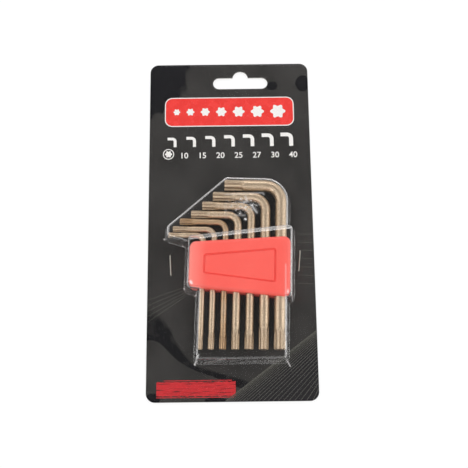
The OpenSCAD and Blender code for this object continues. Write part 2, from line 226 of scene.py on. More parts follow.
# Middle of each painted dark patch, and its half width and half height
PAINTED_SHADE_PATCHES = (((-47.0, 100.0), (24.0, 34.0)), ((26.0, 86.5), (3.4, 3.0)), ((44.5, 88.0), (4.6, 5.6)),
          ((-43.5, -99.5), (4.2, 3.4)), ((-9.0, -100.2), (6.5, 1.7)))
waver = add(tree, "ShaderNodeTexNoise", {"Vector": where, "Scale": PATCH_WAVE, "Detail": 2.0})
shift = add(tree, "ShaderNodeMath", {0: waver, 1: PATCH_SHIFT, 2: 1.0 - PATCH_SHIFT / 2},
            operation="MULTIPLY_ADD")
painted_shade = None
for (x, y), (wide, tall) in PAINTED_SHADE_PATCHES:
    off = add(tree, "ShaderNodeVectorMath", {0: where, 1: Vector((x, y, CARD_T)) * MM},
              operation="SUBTRACT")
    off = add(tree, "ShaderNodeVectorMath", {0: off, 1: (1 / (wide * MM), 1 / (tall * MM), 0)},
              operation="MULTIPLY")
    off = add(tree, "ShaderNodeVectorMath", {0: off}, operation="LENGTH")
    off = add(tree, "ShaderNodeMath", {0: off, 1: shift}, operation="MULTIPLY")
    spot = add(tree, "ShaderNodeMapRange", {"Value": off, "From Min": 0.9, "From Max": 1.0,
                                            "To Min": 1.0, "To Max": 0.0})
    if painted_shade:
        painted_shade = add(tree, "ShaderNodeMath", {0: painted_shade, 1: spot}, operation="MAXIMUM")
    else:
        painted_shade = spot
# Painted shade: the patches turn the ink near black, standing for the sheet's dark reflection there
with_painted_patches = add(tree, "ShaderNodeMix", {0: painted_shade, 6: wedged, 7: linear("#0d0d12")}, data_type="RGBA")
specks = add(tree, "ShaderNodeTexVoronoi", {"Vector": where, "Scale": DUST, "Randomness": 1.0})
speck_size = add(tree, "ShaderNodeMapRange", {"Value": specks.outputs["Distance"], "From Min": 0.05,
                                              "From Max": 0.09, "To Min": 0.35, "To Max": 0.0})
speck_pick = add(tree, "ShaderNodeSeparateColor", {0: specks.outputs["Color"]})
speck_few = add(tree, "ShaderNodeMath", {0: speck_pick, 1: 0.93}, operation="GREATER_THAN")
speck_mask = add(tree, "ShaderNodeMath", {0: speck_size, 1: speck_few}, operation="MULTIPLY")
dusty = add(tree, "ShaderNodeMix", {0: speck_mask, 6: with_painted_patches, 7: linear("#8f8f90")}, data_type="RGBA")
fibre = add(tree, "ShaderNodeTexNoise", {"Vector": where, "Scale": GRAIN, "Detail": 4.0})
back_shade = add(tree, "ShaderNodeMix", {0: fibre, 6: linear("#a9a7a2"), 7: linear("#c9c7c1")},
                 data_type="RGBA")
printed = add(tree, "ShaderNodeMath", {0: depth.outputs["Z"], 1: BOARD_CORE_TOP},
              operation="GREATER_THAN")
face = add(tree, "ShaderNodeMix", {0: printed, 6: back_shade, 7: dusty}, data_type="RGBA")
gloss = add(tree, "ShaderNodeMapRange", {"Value": printed, "To Min": 0.85, "To Max": 0.25})
lift = add(tree, "ShaderNodeBump", {"Height": fibre, "Strength": 0.12, "Distance": 0.05 * MM})
shader = add(tree, "ShaderNodeBsdfPrincipled",
             {"Base Color": face, "Roughness": gloss, "Normal": lift, "Specular IOR Level": 0.3})
add(tree, "ShaderNodeOutputMaterial", {"Surface": shader})
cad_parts["card"].data.materials.clear()
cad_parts["card"].data.materials.append(board)


def ink(name, thin, full, dot=0.5):
    """Offset ink under the laminate: its density wavers between two near shades, at dot mm."""
    made, tree = new_material(name)
    where = add(tree, "ShaderNodeTexCoord").outputs["Object"]
    waver = add(tree, "ShaderNodeTexNoise", {"Vector": where, "Scale": 1 / (dot * MM), "Detail": 3.0})
    shade = add(tree, "ShaderNodeMix", {0: waver, 6: linear(thin), 7: linear(full)}, data_type="RGBA")
    gloss = add(tree, "ShaderNodeMapRange", {"Value": waver, "To Min": 0.22, "To Max": 0.32})
    shader = add(tree, "ShaderNodeBsdfPrincipled",
                 {"Base Color": shade, "Roughness": gloss, "Specular IOR Level": 0.3})
    add(tree, "ShaderNodeOutputMaterial", {"Surface": shader})
    return made


def new_piece(name, shape, material, body):
    """Turns a bmesh into a piece of one material that rides on a body."""
    mesh = bpy.data.meshes.new(name)
    shape.to_mesh(mesh)
    shape.free()
    mesh.materials.append(material)
    piece = bpy.data.objects.new(name, mesh)
    bpy.context.scene.collection.objects.link(piece)
    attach(piece, body)
    return piece


def add_plate(shape, outline, low, high):
    """Adds a closed flat plate whose outline runs anticlockwise, all in mm."""
    below, above = [[shape.verts.new((x * MM, y * MM, z * MM)) for x, y in outline] for z in (low, high)]
    shape.faces.new(above)
    shape.faces.new(below[::-1])
    for i in range(len(outline)):
        shape.faces.new((below[i - 1], below[i], above[i], above[i - 1]))


def add_ring(shape, outer, inner, low, high):
    """Adds a closed flat ring between two outlines with as many points, all in mm."""
    rows = [[shape.verts.new((x * MM, y * MM, z * MM)) for x, y in line]
            for line, z in ((outer, low), (outer, high), (inner, high), (inner, low))]
    for i in range(len(outer)):
        for first, second in zip(rows, rows[1:] + rows[:1]):
            shape.faces.new((first[i - 1], first[i], second[i], second[i - 1]))


def arc(x, y, radius, start, end, steps):
    """Points on a circle's arc, with angles in degrees."""
    turns = [radians(start + (end - start) * i / steps) for i in range(steps + 1)]
    return [(x + radius * cos(a), y + radius * sin(a)) for a in turns]


def hull_ring(points):
    """The convex hull of flat points, anticlockwise."""
    ring = [Vector(points[i]) for i in convex_hull_2d([Vector(p) for p in points])]
    area = sum(a.x * b.y - b.x * a.y for a, b in zip(ring, ring[1:] + ring[:1]))
    return ring[::-1] if area < 0 else ring


def round_outline(centres, radius, arc_step=12.0, edge_step=None):
    """Anticlockwise outline round the circles at the given centres, in mm. Its count of points
    depends on the centres alone, so outlines of other radii match it point by point."""
    ring = hull_ring(centres)
    points = []
    for before, here, after in zip(ring[-1:] + ring[:-1], ring, ring[1:] + ring[:1]):
        start = atan2(-(here - before).x, (here - before).y)
        end = atan2(-(after - here).x, (after - here).y)
        turn = (end - start) % (2 * pi)
        steps = max(1, ceil(turn / radians(arc_step)))
        corner = [here + radius * Vector((cos(a), sin(a)))
                  for a in (start + turn * i / steps for i in range(steps + 1))]
        points += corner
        pieces = ceil((after - here).length / edge_step) if edge_step else 1
        points += [corner[-1] + (after - here) * i / pieces for i in range(1, pieces)]
    return points


def star_outline(x, y, size, valley=0.72, points=72):
    """Six-lobe star outline: size over the points, valley as a share of it."""
    lobes = [(2 * pi * i / points) for i in range(points)]
    reach = [size / 2 * (1 - (1 - valley) * (0.5 - 0.5 * cos(6 * a))) for a in lobes]
    return [(x + r * cos(a), y + r * sin(a)) for a, r in zip(lobes, reach)]


def frame_corners(left, low, right, high, inset):
    """The centres of a rounded rectangle's corners."""
    return [(x, y) for x in (left + inset, right - inset) for y in (low + inset, high - inset)]


WHITE_INK = ink("white_offset_ink", "#e9e9e7", "#fbfbfa")
RED_INK = ink("red_offset_ink", "#e23532", "#f5443e", dot=6.0)
GREY_INK = ink("grey_offset_ink", "#4c4c47", "#62625b")

BAND_LEFT, BAND_RIGHT, BAND_LOW, BAND_HIGH = -38.0, 38.0, 61.2, 78.8
BAND_ROUND, KEYLINE = 4.0, 0.55
STAR_ICONS = (4.2, 4.9, 5.6, 6.4, 7.2, 8.0, 9.2)
STAR_ICON_GAP = 3.6
band = bmesh.new()
band_corners = frame_corners(BAND_LEFT, BAND_LOW, BAND_RIGHT, BAND_HIGH, BAND_ROUND)
add_plate(band, round_outline(band_corners, BAND_ROUND), INK_LOW, INK_HIGH)
new_piece("print_red_band", band, RED_INK, "pack")

white_print = bmesh.new()
add_ring(white_print, round_outline(band_corners, BAND_ROUND + KEYLINE),
         round_outline(band_corners, BAND_ROUND), INK_LOW, INK_HIGH)
icon_x = -(sum(STAR_ICONS) + STAR_ICON_GAP * (len(STAR_ICONS) - 1)) / 2
band_middle = (BAND_LOW + BAND_HIGH) / 2
for size in STAR_ICONS:
    icon_x += size / 2
    add_plate(white_print, star_outline(icon_x, band_middle, size), INK_HIGH, INK_HIGH + INK_T)
    icon_x += size / 2 + STAR_ICON_GAP

KEY_ICON_LOW, KEY_ICON_FIRST, KEY_ICON_STEP = 47.8, -33.2, 11.4
KEY_ICON_TALL, KEY_ICON_GROWTH = 6.0, 0.4
# Stroke and arm as shares of the height, and the bend's radius as a share of the stroke
ICON_STROKE, ICON_ARM, ICON_BEND = 0.28, 0.6, 1.5
NUMBERS = 10, 15, 20, 25, 27, 30, 40
for i in range(len(NUMBERS)):
    tall = KEY_ICON_TALL + KEY_ICON_GROWTH * i
    stroke, arm = ICON_STROKE * tall, ICON_ARM * tall
    bend = ICON_BEND * stroke
    x, y = KEY_ICON_FIRST + KEY_ICON_STEP * i, KEY_ICON_LOW
    foot = [(x, y), (x + stroke, y)]
    outer_bend = arc(x + stroke - bend, y + tall - bend, bend, 0, 90, 8)
    arm_end = [(x - arm, y + tall), (x - arm, y + tall - stroke)]
    inner_bend = arc(x + stroke - bend, y + tall - bend, bend - stroke, 90, 0, 8)
    add_plate(white_print, foot + outer_bend + arm_end + inner_bend, INK_LOW, INK_HIGH)

BADGE_X, BADGE_Y, BADGE_D, BADGE_LINE, BADGE_STAR = -36.2, 43.3, 6.6, 0.5, 4.4
add_ring(white_print, arc(BADGE_X, BADGE_Y, BADGE_D / 2, 0, 350, 35),
         arc(BADGE_X, BADGE_Y, BADGE_D / 2 - BADGE_LINE, 0, 350, 35), INK_LOW, INK_HIGH)
add_plate(white_print, star_outline(BADGE_X, BADGE_Y, BADGE_STAR), INK_LOW, INK_HIGH)

NUMBER_FIRST, NUMBER_STEP, NUMBER_Y, NUMBER_SIZE, NUMBER_BOLDER = -27.0, 10.73, 42.2, 5.0, 0.06
INK_MIDDLE = (INK_LOW + INK_HIGH) / 2
for i, number in enumerate(NUMBERS):
    letters = bpy.data.curves.new("number", "FONT")
    letters.body = str(number)
    letters.size = NUMBER_SIZE * MM
    letters.align_x = "CENTER"
    letters.align_y = "CENTER"
    letters.extrude = INK_T / 2 * MM
    letters.offset = NUMBER_BOLDER * MM
    letters.resolution_u = 6
    text = bpy.data.objects.new("number", letters)
    bpy.context.scene.collection.objects.link(text)
    bpy.context.view_layer.update()
    flat = bpy.data.meshes.new_from_object(text.evaluated_get(bpy.context.evaluated_depsgraph_get()))
    middle = Vector((NUMBER_FIRST + NUMBER_STEP * i, NUMBER_Y, INK_MIDDLE)) * MM
    flat.transform(Matrix.Translation(middle))
    white_print.from_mesh(flat)
    bpy.data.objects.remove(text)
    bpy.data.curves.remove(letters)
    bpy.data.meshes.remove(flat)
bmesh.ops.remove_doubles(white_print, verts=white_print.verts[:], dist=0.001 * MM)
bmesh.ops.recalc_face_normals(white_print, faces=white_print.faces[:])
new_piece("print_white", white_print, WHITE_INK, "pack")

# Worn red ink: dry brush strokes along the bar, with the black board showing between them
worn_ink, tree = new_material("worn_red_offset_ink")
where = add(tree, "ShaderNodeTexCoord").outputs["Object"]
BRISTLE_LONG, BRISTLE_WIDE = 9 * MM, 0.55 * MM
strokes = add(tree, "ShaderNodeVectorMath", {0: where, 1: (1 / BRISTLE_LONG, 1 / BRISTLE_WIDE, 0)},
              operation="MULTIPLY")
bristle = add(tree, "ShaderNodeTexNoise", {"Vector": strokes, "Scale": 1.0, "Detail": 3.0})
dry = add(tree, "ShaderNodeMapRange", {"Value": bristle, "From Min": 0.34, "From Max": 0.46})
waver = add(tree, "ShaderNodeTexNoise", {"Vector": where, "Scale": 1 / (1.2 * MM), "Detail": 3.0})
fresh = add(tree, "ShaderNodeMix", {0: waver, 6: linear("#b3242b"), 7: linear("#d8363b")},
            data_type="RGBA")
brushed = add(tree, "ShaderNodeMix", {0: dry, 6: linear("#4a1a1c"), 7: fresh}, data_type="RGBA")
shader = add(tree, "ShaderNodeBsdfPrincipled",
             {"Base Color": brushed, "Roughness": 0.28, "Specular IOR Level": 0.3})
add(tree, "ShaderNodeOutputMaterial", {"Surface": shader})
LABEL_LEFT, LABEL_RIGHT, LABEL_LOW, LABEL_HIGH = -41.7, 1.8, -97.7, -90.0
LABEL_RAG, LABEL_STEP = 0.28, 0.7
LABEL_RULE, LABEL_RULE_GAP = 0.45, 0.5


def ragged(low, high, left, right, phase):
    """Outline of a worn bar: its long edges waver by a product of sines."""
    count = round((right - left) / LABEL_STEP)
    xs = [left + (right - left) * i / count for i in range(count + 1)]
    wear = [LABEL_RAG * (sin(2.1 * x + phase) * sin(0.73 * x + 2 * phase)) for x in xs]
    thick = min(1.0, (high - low) / 2)
    return ([(x, low + thick * w) for x, w in zip(xs, wear)]
            + [(x, high + thick * w) for x, w in reversed(list(zip(xs, wear[::-1])))])


label = bmesh.new()
upper_rule = LABEL_HIGH + LABEL_RULE_GAP
lower_rule = LABEL_LOW - LABEL_RULE_GAP - LABEL_RULE
# The bar and the rules over and under it: low and high edge, left and right end, phase of the wear
WORN_BARS = ((LABEL_LOW, LABEL_HIGH, LABEL_LEFT, LABEL_RIGHT, 0.4),
             (upper_rule, upper_rule + LABEL_RULE, LABEL_LEFT + 4, LABEL_RIGHT - 2, 1.1),
             (lower_rule, lower_rule + LABEL_RULE, LABEL_LEFT, LABEL_RIGHT - 1, 2.3))
for bar in WORN_BARS:
    add_plate(label, ragged(*bar), INK_LOW, INK_HIGH)
new_piece("print_red_label", label, worn_ink, "pack")


def new_maker(name, sizes):
    """An empty Geometry Nodes tree with these inputs, and the identifiers of their sockets."""
    tree = bpy.data.node_groups.new(name, "GeometryNodeTree")
    ports = {}
    for size, kind in sizes.items():
        socket = tree.interface.new_socket(size, in_out="INPUT", socket_type="NodeSocket" + kind)
        ports[size] = socket.identifier
    tree.interface.new_socket("Geometry", in_out="OUTPUT", socket_type="NodeSocketGeometry")
    return tree, ports


def stripe_tree():
    """Fan of thin ink lines from one edge to another. A spread over 1 packs them near the first line."""
    tree, ports = new_maker("pinstripes", {
        "Count": "Int", "Width": "Float", "Height": "Float", "Start A": "Vector", "Start B": "Vector",
        "End A": "Vector", "End B": "Vector", "Start Spread": "Float", "End Spread": "Float"})
    given = add(tree, "NodeGroupInput").outputs
    last = add(tree, "ShaderNodeMath", {0: given["Count"], 1: 1.0}, operation="SUBTRACT")
    index = add(tree, "GeometryNodeInputIndex")
    share = add(tree, "ShaderNodeMath", {0: index, 1: last}, operation="DIVIDE")
    ends = []
    for side in ("Start", "End"):
        spread = add(tree, "ShaderNodeMath", {0: share, 1: given[side + " Spread"]}, operation="POWER")
        ends.append(add(tree, "ShaderNodeMix", {0: spread, 4: given[side + " A"], 5: given[side + " B"]},
                        data_type="VECTOR"))
    start, end = ends
    middle = add(tree, "ShaderNodeMix", {0: 0.5, 4: start, 5: end}, data_type="VECTOR")
    run = add(tree, "ShaderNodeVectorMath", {0: end, 1: start}, operation="SUBTRACT")
    reach = add(tree, "ShaderNodeVectorMath", {0: run}, operation="LENGTH")
    row = add(tree, "GeometryNodeMeshLine", {"Count": given["Count"]})
    placed = add(tree, "GeometryNodeSetPosition", {"Geometry": row, "Position": middle})
    turn = add(tree, "FunctionNodeAlignRotationToVector", {"Vector": run}, axis="X")
    stretch = add(tree, "ShaderNodeCombineXYZ", {0: reach, 1: given["Width"], 2: given["Height"]})
    bar = add(tree, "GeometryNodeMeshCube", {"Size": (1, 1, 1)})
    lines = add(tree, "GeometryNodeInstanceOnPoints",
                {"Points": placed, "Instance": bar, "Rotation": turn, "Scale": stretch})
    real = add(tree, "GeometryNodeRealizeInstances", {0: lines})
    inked = add(tree, "GeometryNodeSetMaterial", {"Geometry": real, "Material": GREY_INK})
    add(tree, "NodeGroupOutput", {0: inked})
    return tree, ports


def grown(name, tree, ports, values):
    """The plain mesh object that a Geometry Nodes tree makes from these values."""
    piece = bpy.data.objects.new(name, bpy.data.meshes.new(name))
    bpy.context.scene.collection.objects.link(piece)
    maker = piece.modifiers.new("maker", "NODES")
    maker.node_group = tree
    for key, value in values.items():
        maker[ports[key]] = value
    bpy.context.view_layer.update()
    graph = bpy.context.evaluated_depsgraph_get()
    mesh = bpy.data.meshes.new_from_object(piece.evaluated_get(graph), preserve_all_data_layers=True,
                                           depsgraph=graph)
    piece.modifiers.clear()
    piece.data = mesh
    mesh.name = name
    return piece


stripes, stripe_ports = stripe_tree()
# Count, width, spread at the start and the end, then where the first and last line start and end
STRIPE_FANS = {
    "print_stripes_corner": (23, 0.28, 1.6, 2.1,
                             (-4.0, -100.7), (44.0, -100.7), (47.3, -62.2), (47.3, -94.2)),
    "print_stripes_right": (7, 0.2, 1.0, 1.0,
                            (38.4, -6.4), (37.6, -35.4), (47.0, -6.6), (47.0, -35.8)),
    "print_stripes_left": (5, 0.2, 1.0, 1.0,
                           (-46.9, -43.9), (-46.9, -56.4), (-19.4, -34.4), (-26.2, -42.4)),
}
for name, (count, wide, start_spread, end_spread, *ends) in STRIPE_FANS.items():
    start_a, start_b, end_a, end_b = [(x * MM, y * MM, INK_MIDDLE * MM) for x, y in ends]
    fan = grown(name, stripes, stripe_ports, {
        "Count": count, "Width": wide * MM, "Height": INK_T * MM,
        "Start A": start_a, "Start B": start_b, "End A": end_a, "End B": end_b,
        "Start Spread": start_spread, "End Spread": end_spread})
    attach(fan, "pack")

# Holder: one injection moulding in coral red polypropylene, tapered from the large keys to the small.
# Its front edges are rounded, a panel with a groove is sunk in the front, and every key has a bore.
LEAN = radians(2)
KEY_WEB, KEY_PLAY, BEND_SHARE = 2.6, 0.06, 1.4
# Size: rod diameter, star size, long arm, short arm, gap to the next smaller arm
KEY_SIZES = {
    10: (3.1, 2.8, 66.4, 21.8, 0.0),
    15: (3.4, 3.35, 70.0, 25.4, 0.3),
    20: (3.5, 3.95, 74.2, 28.0, 0.7),
    25: (4.5, 4.5, 79.1, 29.2, 0.3),
    27: (4.5, 5.1, 84.2, 30.5, 0.5),
    30: (5.6, 5.6, 90.4, 33.2, 0.4),
    40: (6.7, 6.75, 97.6, 36.2, 0.7),
}
FIRST_KEY_U, FIRST_ARM_V = -15.0, -8.65
HOLDER_T, HOLDER_SEAT, HOLDER_V = 10.5, 0.1, -26.2
HOLDER_SMALL_H, HOLDER_LARGE_H = 26.5, 34.5
SMALL_WALL, LARGE_WALL = 6.1, 2.1
CORNER_R, FRONT_R, BACK_R = 4.0, 2.2, 0.6
FRONT_STRIP, BACK_STEPS, FILLET_STEPS = 0.4, 4, 8
PANEL_MARGIN, PANEL_UPRIGHT_MARGIN, PANEL_DEPTH, PANEL_ROUND = 8.0, 7.28, 0.5, 1.8
GROOVE_DEPTH, BORE_POINTS = 1.2, 48
KEY_Z = HOLDER_SEAT + HOLDER_T / 2


def lay(u, v, z):
    """A point of the leaning key set in the row frame, in mm: z is above the card's face."""
    return Vector((u * cos(LEAN) + v * sin(LEAN), v * cos(LEAN) - u * sin(LEAN), z + CARD_T))


places = {}
for size, (rod, star, long_arm, short_arm, gap) in KEY_SIZES.items():
    wide = max(rod, star)
    if not places:
        u, v = FIRST_KEY_U, FIRST_ARM_V
    else:
        u += (last_wide + wide) / 2 + 2 * KEY_PLAY + KEY_WEB
        v += (last_wide + wide) / 2 + gap
    last_wide = wide
    places[size] = {"u": u, "v": v, "tip": v + rod / 2 - long_arm, "end": u + rod / 2 - short_arm,
                    "wide": wide, "rod": rod, "star": star}

SMALLEST, LARGEST = places[10], places[40]
HOLDER_LEFT = SMALLEST["u"] - SMALLEST["wide"] / 2 - KEY_PLAY - SMALL_WALL
HOLDER_RIGHT = LARGEST["u"] + LARGEST["wide"] / 2 + KEY_PLAY + LARGE_WALL


def tapered(margin_u, margin_v, corner):
    """Corner centres of the holder's outline, moved in by the margins and by a corner radius."""
    return [(u, HOLDER_V + s * (tall / 2 - margin_v - corner))
            for u, tall in ((HOLDER_LEFT + margin_u + corner, HOLDER_SMALL_H),
                            (HOLDER_RIGHT - margin_u - corner, HOLDER_LARGE_H)) for s in (-1, 1)]


def add_rows(shape, rows, close_first=True, close_last=True):
    """Joins rows of as many points, each a list of (u, v, z) of the key set, into a skin."""
    made = [[shape.verts.new(lay(*p) * MM) for p in row] for row in rows]
    for low, high in zip(made, made[1:]):
        for i in range(len(low)):
            shape.faces.new((low[i - 1], low[i], high[i], high[i - 1]))
    if close_first:
        shape.faces.new(made[0][::-1])
    if close_last:
        shape.faces.new(made[-1])
    return made


block = bmesh.new()
back_turn, front_turn = [[radians(90 * i / steps) for i in range(steps + 1)]
                         for steps in (BACK_STEPS, FILLET_STEPS)]
profile = [(BACK_R * (1 - sin(a)), BACK_R * (1 - cos(a))) for a in back_turn]
profile += [(FRONT_R * (1 - cos(a)), HOLDER_T - FRONT_R + FRONT_R * sin(a)) for a in front_turn]
profile.append((FRONT_R + FRONT_STRIP, HOLDER_T))
outline_centres = tapered(0, 0, CORNER_R)
rows = [[(p.x, p.y, HOLDER_SEAT + z) for p in round_outline(outline_centres, CORNER_R - inset, 10)]
        for inset, z in profile]
front_edge = add_rows(block, rows, close_last=False)[-1]
panel_centres = tapered(PANEL_MARGIN, PANEL_UPRIGHT_MARGIN, PANEL_ROUND)
# Inset and depth of every line round the panel: its edge, the groove, then the panel itself
PANEL_STEPS = ((-0.3, 0), (0, 0), (0.12, 0.08), (0.2, GROOVE_DEPTH - 0.1), (0.3, GROOVE_DEPTH),
               (1.05, GROOVE_DEPTH), (1.15, GROOVE_DEPTH - 0.1), (1.25, PANEL_DEPTH + 0.08),
               (1.37, PANEL_DEPTH), (1.7, PANEL_DEPTH))
rows = [[(p.x, p.y, HOLDER_SEAT + HOLDER_T - deep)
         for p in round_outline(panel_centres, PANEL_ROUND - inset, 15)] for inset, deep in PANEL_STEPS]
panel_edge = add_rows(block, rows, close_first=False)[0]
borders = [block.edges.get((loop[i - 1], loop[i]))
           for loop in (front_edge, panel_edge) for i in range(len(loop))]
bmesh.ops.triangle_fill(block, use_beauty=True, edges=borders)
bmesh.ops.recalc_face_normals(block, faces=block.faces[:])

# Moulded polypropylene: a satin skin with a fine spark-eroded grain and faint flow marks, with a
# painted sheen that makes both ends paler, the left end most
coral, tree = new_material("coral_polypropylene")
where = add(tree, "ShaderNodeTexCoord").outputs["Object"]
flow = add(tree, "ShaderNodeTexNoise", {"Vector": where, "Scale": 1 / (14 * MM), "Detail": 2.0})
red = add(tree, "ShaderNodeMix", {0: flow, 6: linear("#f9594f"), 7: linear("#fd675d")}, data_type="RGBA")
side = add(tree, "ShaderNodeSeparateXYZ", {0: where})
# Painted sheen: the colour turns pale pink towards the left end, and a little towards the right end
left_painted_sheen = add(tree, "ShaderNodeMapRange",
                 {"Value": side.outputs["X"], "From Min": -24 * MM, "From Max": -12 * MM,
                  "To Min": 0.7, "To Max": 0.0}, interpolation_type="SMOOTHSTEP")
right_painted_sheen = add(tree, "ShaderNodeMapRange",
                  {"Value": side.outputs["X"], "From Min": 26 * MM, "From Max": 34 * MM,
                   "To Min": 0.0, "To Max": 0.15}, interpolation_type="SMOOTHSTEP")
painted_sheen = add(tree, "ShaderNodeMath", {0: left_painted_sheen, 1: right_painted_sheen}, operation="MAXIMUM")
red = add(tree, "ShaderNodeMix", {0: painted_sheen, 6: red, 7: linear("#ff9389")}, data_type="RGBA")
spark = add(tree, "ShaderNodeTexNoise", {"Vector": where, "Scale": 1 / (0.5 * MM), "Detail": 3.0})
satin = add(tree, "ShaderNodeMapRange", {"Value": spark, "To Min": 0.34, "To Max": 0.5})
grain = add(tree, "ShaderNodeBump", {"Height": spark, "Strength": 0.15, "Distance": 0.06 * MM})
shader = add(tree, "ShaderNodeBsdfPrincipled",
             {"Base Color": red, "Roughness": satin, "Normal": grain, "IOR": 1.49})
add(tree, "ShaderNodeOutputMaterial", {"Surface": shader})

holder = new_piece("holder_moulding", block, coral, "holder")
drills = bmesh.new()
for place in places.values():
    bore_r = place["wide"] / 2 + KEY_PLAY
    bore = [(place["u"] + bore_r * cos(a), KEY_Z + bore_r * sin(a))
            for a in (2 * pi * i / BORE_POINTS for i in range(BORE_POINTS))]
    add_rows(drills, [[(u, HOLDER_V + s * HOLDER_LARGE_H, z) for u, z in bore] for s in (-1, 1)])
bmesh.ops.recalc_face_normals(drills, faces=drills.faces[:])
drill_mesh = bpy.data.meshes.new("drills")
drills.to_mesh(drill_mesh)
drills.free()
drill = bpy.data.objects.new("drills", drill_mesh)
bpy.context.scene.collection.objects.link(drill)
cut = holder.modifiers.new("bores", "BOOLEAN")
cut.operation = "DIFFERENCE"
cut.object = drill
cut.solver = "EXACT"
bpy.context.view_layer.update()
graph = bpy.context.evaluated_depsgraph_get()
holder_mesh = bpy.data.meshes.new_from_object(holder.evaluated_get(graph), depsgraph=graph)
holder.modifiers.clear()
holder.data = holder_mesh
bpy.data.objects.remove(drill)


def shade(piece, sharp):
    """Smooth shading that keeps edges sharper than the angle, in degrees."""
    piece.data.polygons.foreach_set("use_smooth", [True] * len(piece.data.polygons))
    piece.data.set_sharp_from_angle(angle=radians(sharp))


shade(holder, 35)
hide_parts("holder")

# Keys: seven L-keys, each one drawn steel rod with a six-lobe star forged on both ends, then bent.
# They are plated a warm nickel, which the tumbling barrel leaves satin, and push into the holder.
LOBES, RUN_OUT, SHOULDER, STAR_DEPTH = 6, 3.2, 1.0, 0.28
TIP_BEVEL, TIP_SHARE = 0.45, 0.86
NECK_REACH = 0.5
RING_STEP, RING_POINTS, BEND_RINGS = 0.45, 60, 18
# Length of the flutes, and the collar's place and depth where a key has one
FLUTED = {10: 7.5, 15: 9.6, 20: 8.6, 25: 11.0, 27: 9.4, 30: 12.8, 40: 12.0}
NECKED = {15: (9.8, 0.16), 25: (11.3, 0.18), 30: (13.4, 0.22)}
# How golden the plating is: along the whole key, and more at the tip of the long arm
GOLDEN = {10: (0.1, 0.0), 15: (0.12, 0.1), 20: (1.0, 0.25), 25: (0.08, 0.1), 27: (0.15, 0.15),
          30: (0.1, 0.05), 40: (0.05, 0.0)}
GOLDEN_PLACE, GOLDEN_REACH = 4.0 * MM, 5.0 * MM

# Nickel-plated steel: warm grey metal, satin, with faint drawn lines along the rod and a speckle from
# the barrel. The flutes are darker: partly duller plating, partly painted shade that deepens with the
# valleys.
plating, tree = new_material("satin_nickel_plate")
along, around, golden, groove = [add(tree, "ShaderNodeAttribute", attribute_name=name).outputs["Fac"]
                                 for name in ("along", "around", "golden", "groove")]
where = add(tree, "ShaderNodeTexCoord").outputs["Object"]
angle = add(tree, "ShaderNodeMath", {0: around, 1: 2 * pi}, operation="MULTIPLY")
DRAWN_LENGTH, DRAWN_LINES = 12 * MM, 7.0
lengthwise = add(tree, "ShaderNodeMath", {0: along, 1: DRAWN_LENGTH}, operation="DIVIDE")
cosine = add(tree, "ShaderNodeMath", {0: angle}, operation="COSINE")
sine = add(tree, "ShaderNodeMath", {0: angle}, operation="SINE")
on_rod = add(tree, "ShaderNodeCombineXYZ", {0: lengthwise, 1: cosine, 2: sine})
rod_scale = add(tree, "ShaderNodeVectorMath", {0: on_rod, 1: (1.0, DRAWN_LINES, DRAWN_LINES)},
                operation="MULTIPLY")
drawn = add(tree, "ShaderNodeTexNoise", {"Vector": rod_scale, "Scale": 1.0, "Detail": 3.0})
speckle = add(tree, "ShaderNodeTexNoise", {"Vector": where, "Scale": 1 / (0.5 * MM), "Detail": 3.0})
cloud = add(tree, "ShaderNodeTexNoise", {"Vector": where, "Scale": 1 / (9 * MM), "Detail": 2.0})
pale = add(tree, "ShaderNodeMix", {0: drawn, 6: linear("#d0bda3"), 7: linear("#dbc8af")}, data_type="RGBA")
warm = add(tree, "ShaderNodeMath", {0: golden, 1: cloud}, operation="MULTIPLY")
tinted = add(tree, "ShaderNodeMix", {0: warm, 6: pale, 7: linear("#a87b42")}, data_type="RGBA")
dots = add(tree, "ShaderNodeMapRange", {"Value": speckle, "From Min": 0.42, "From Max": 0.62,
                                        "To Min": 0.0, "To Max": 0.6})
metal = add(tree, "ShaderNodeMix", {0: dots, 6: tinted, 7: linear("#927d66")}, data_type="RGBA")
GROOVE_START, GROOVE_FULL, GROOVE_DULL_AND_SHADE = 0.06, 0.24, 0.6
# Painted shade in the flutes: the colour darkens to brown as the valleys deepen
dulled_and_shaded = add(tree, "ShaderNodeMapRange", {"Value": groove, "From Min": GROOVE_START, "From Max": GROOVE_FULL,
                                          "To Max": GROOVE_DULL_AND_SHADE})
metal = add(tree, "ShaderNodeMix", {0: dulled_and_shaded, 6: metal, 7: linear("#6b5640")}, data_type="RGBA")
satin = add(tree, "ShaderNodeMapRange", {"Value": drawn, "To Min": 0.38, "To Max": 0.48})
relief = add(tree, "ShaderNodeMix", {0: 0.5, 2: drawn, 3: speckle})
grain = add(tree, "ShaderNodeBump", {"Height": relief, "Strength": 0.4, "Distance": 0.06 * MM})
shader = add(tree, "ShaderNodeBsdfPrincipled",
             {"Base Color": metal, "Metallic": 1.0, "Roughness": satin, "Normal": grain})
add(tree, "ShaderNodeOutputMaterial", {"Surface": shader})


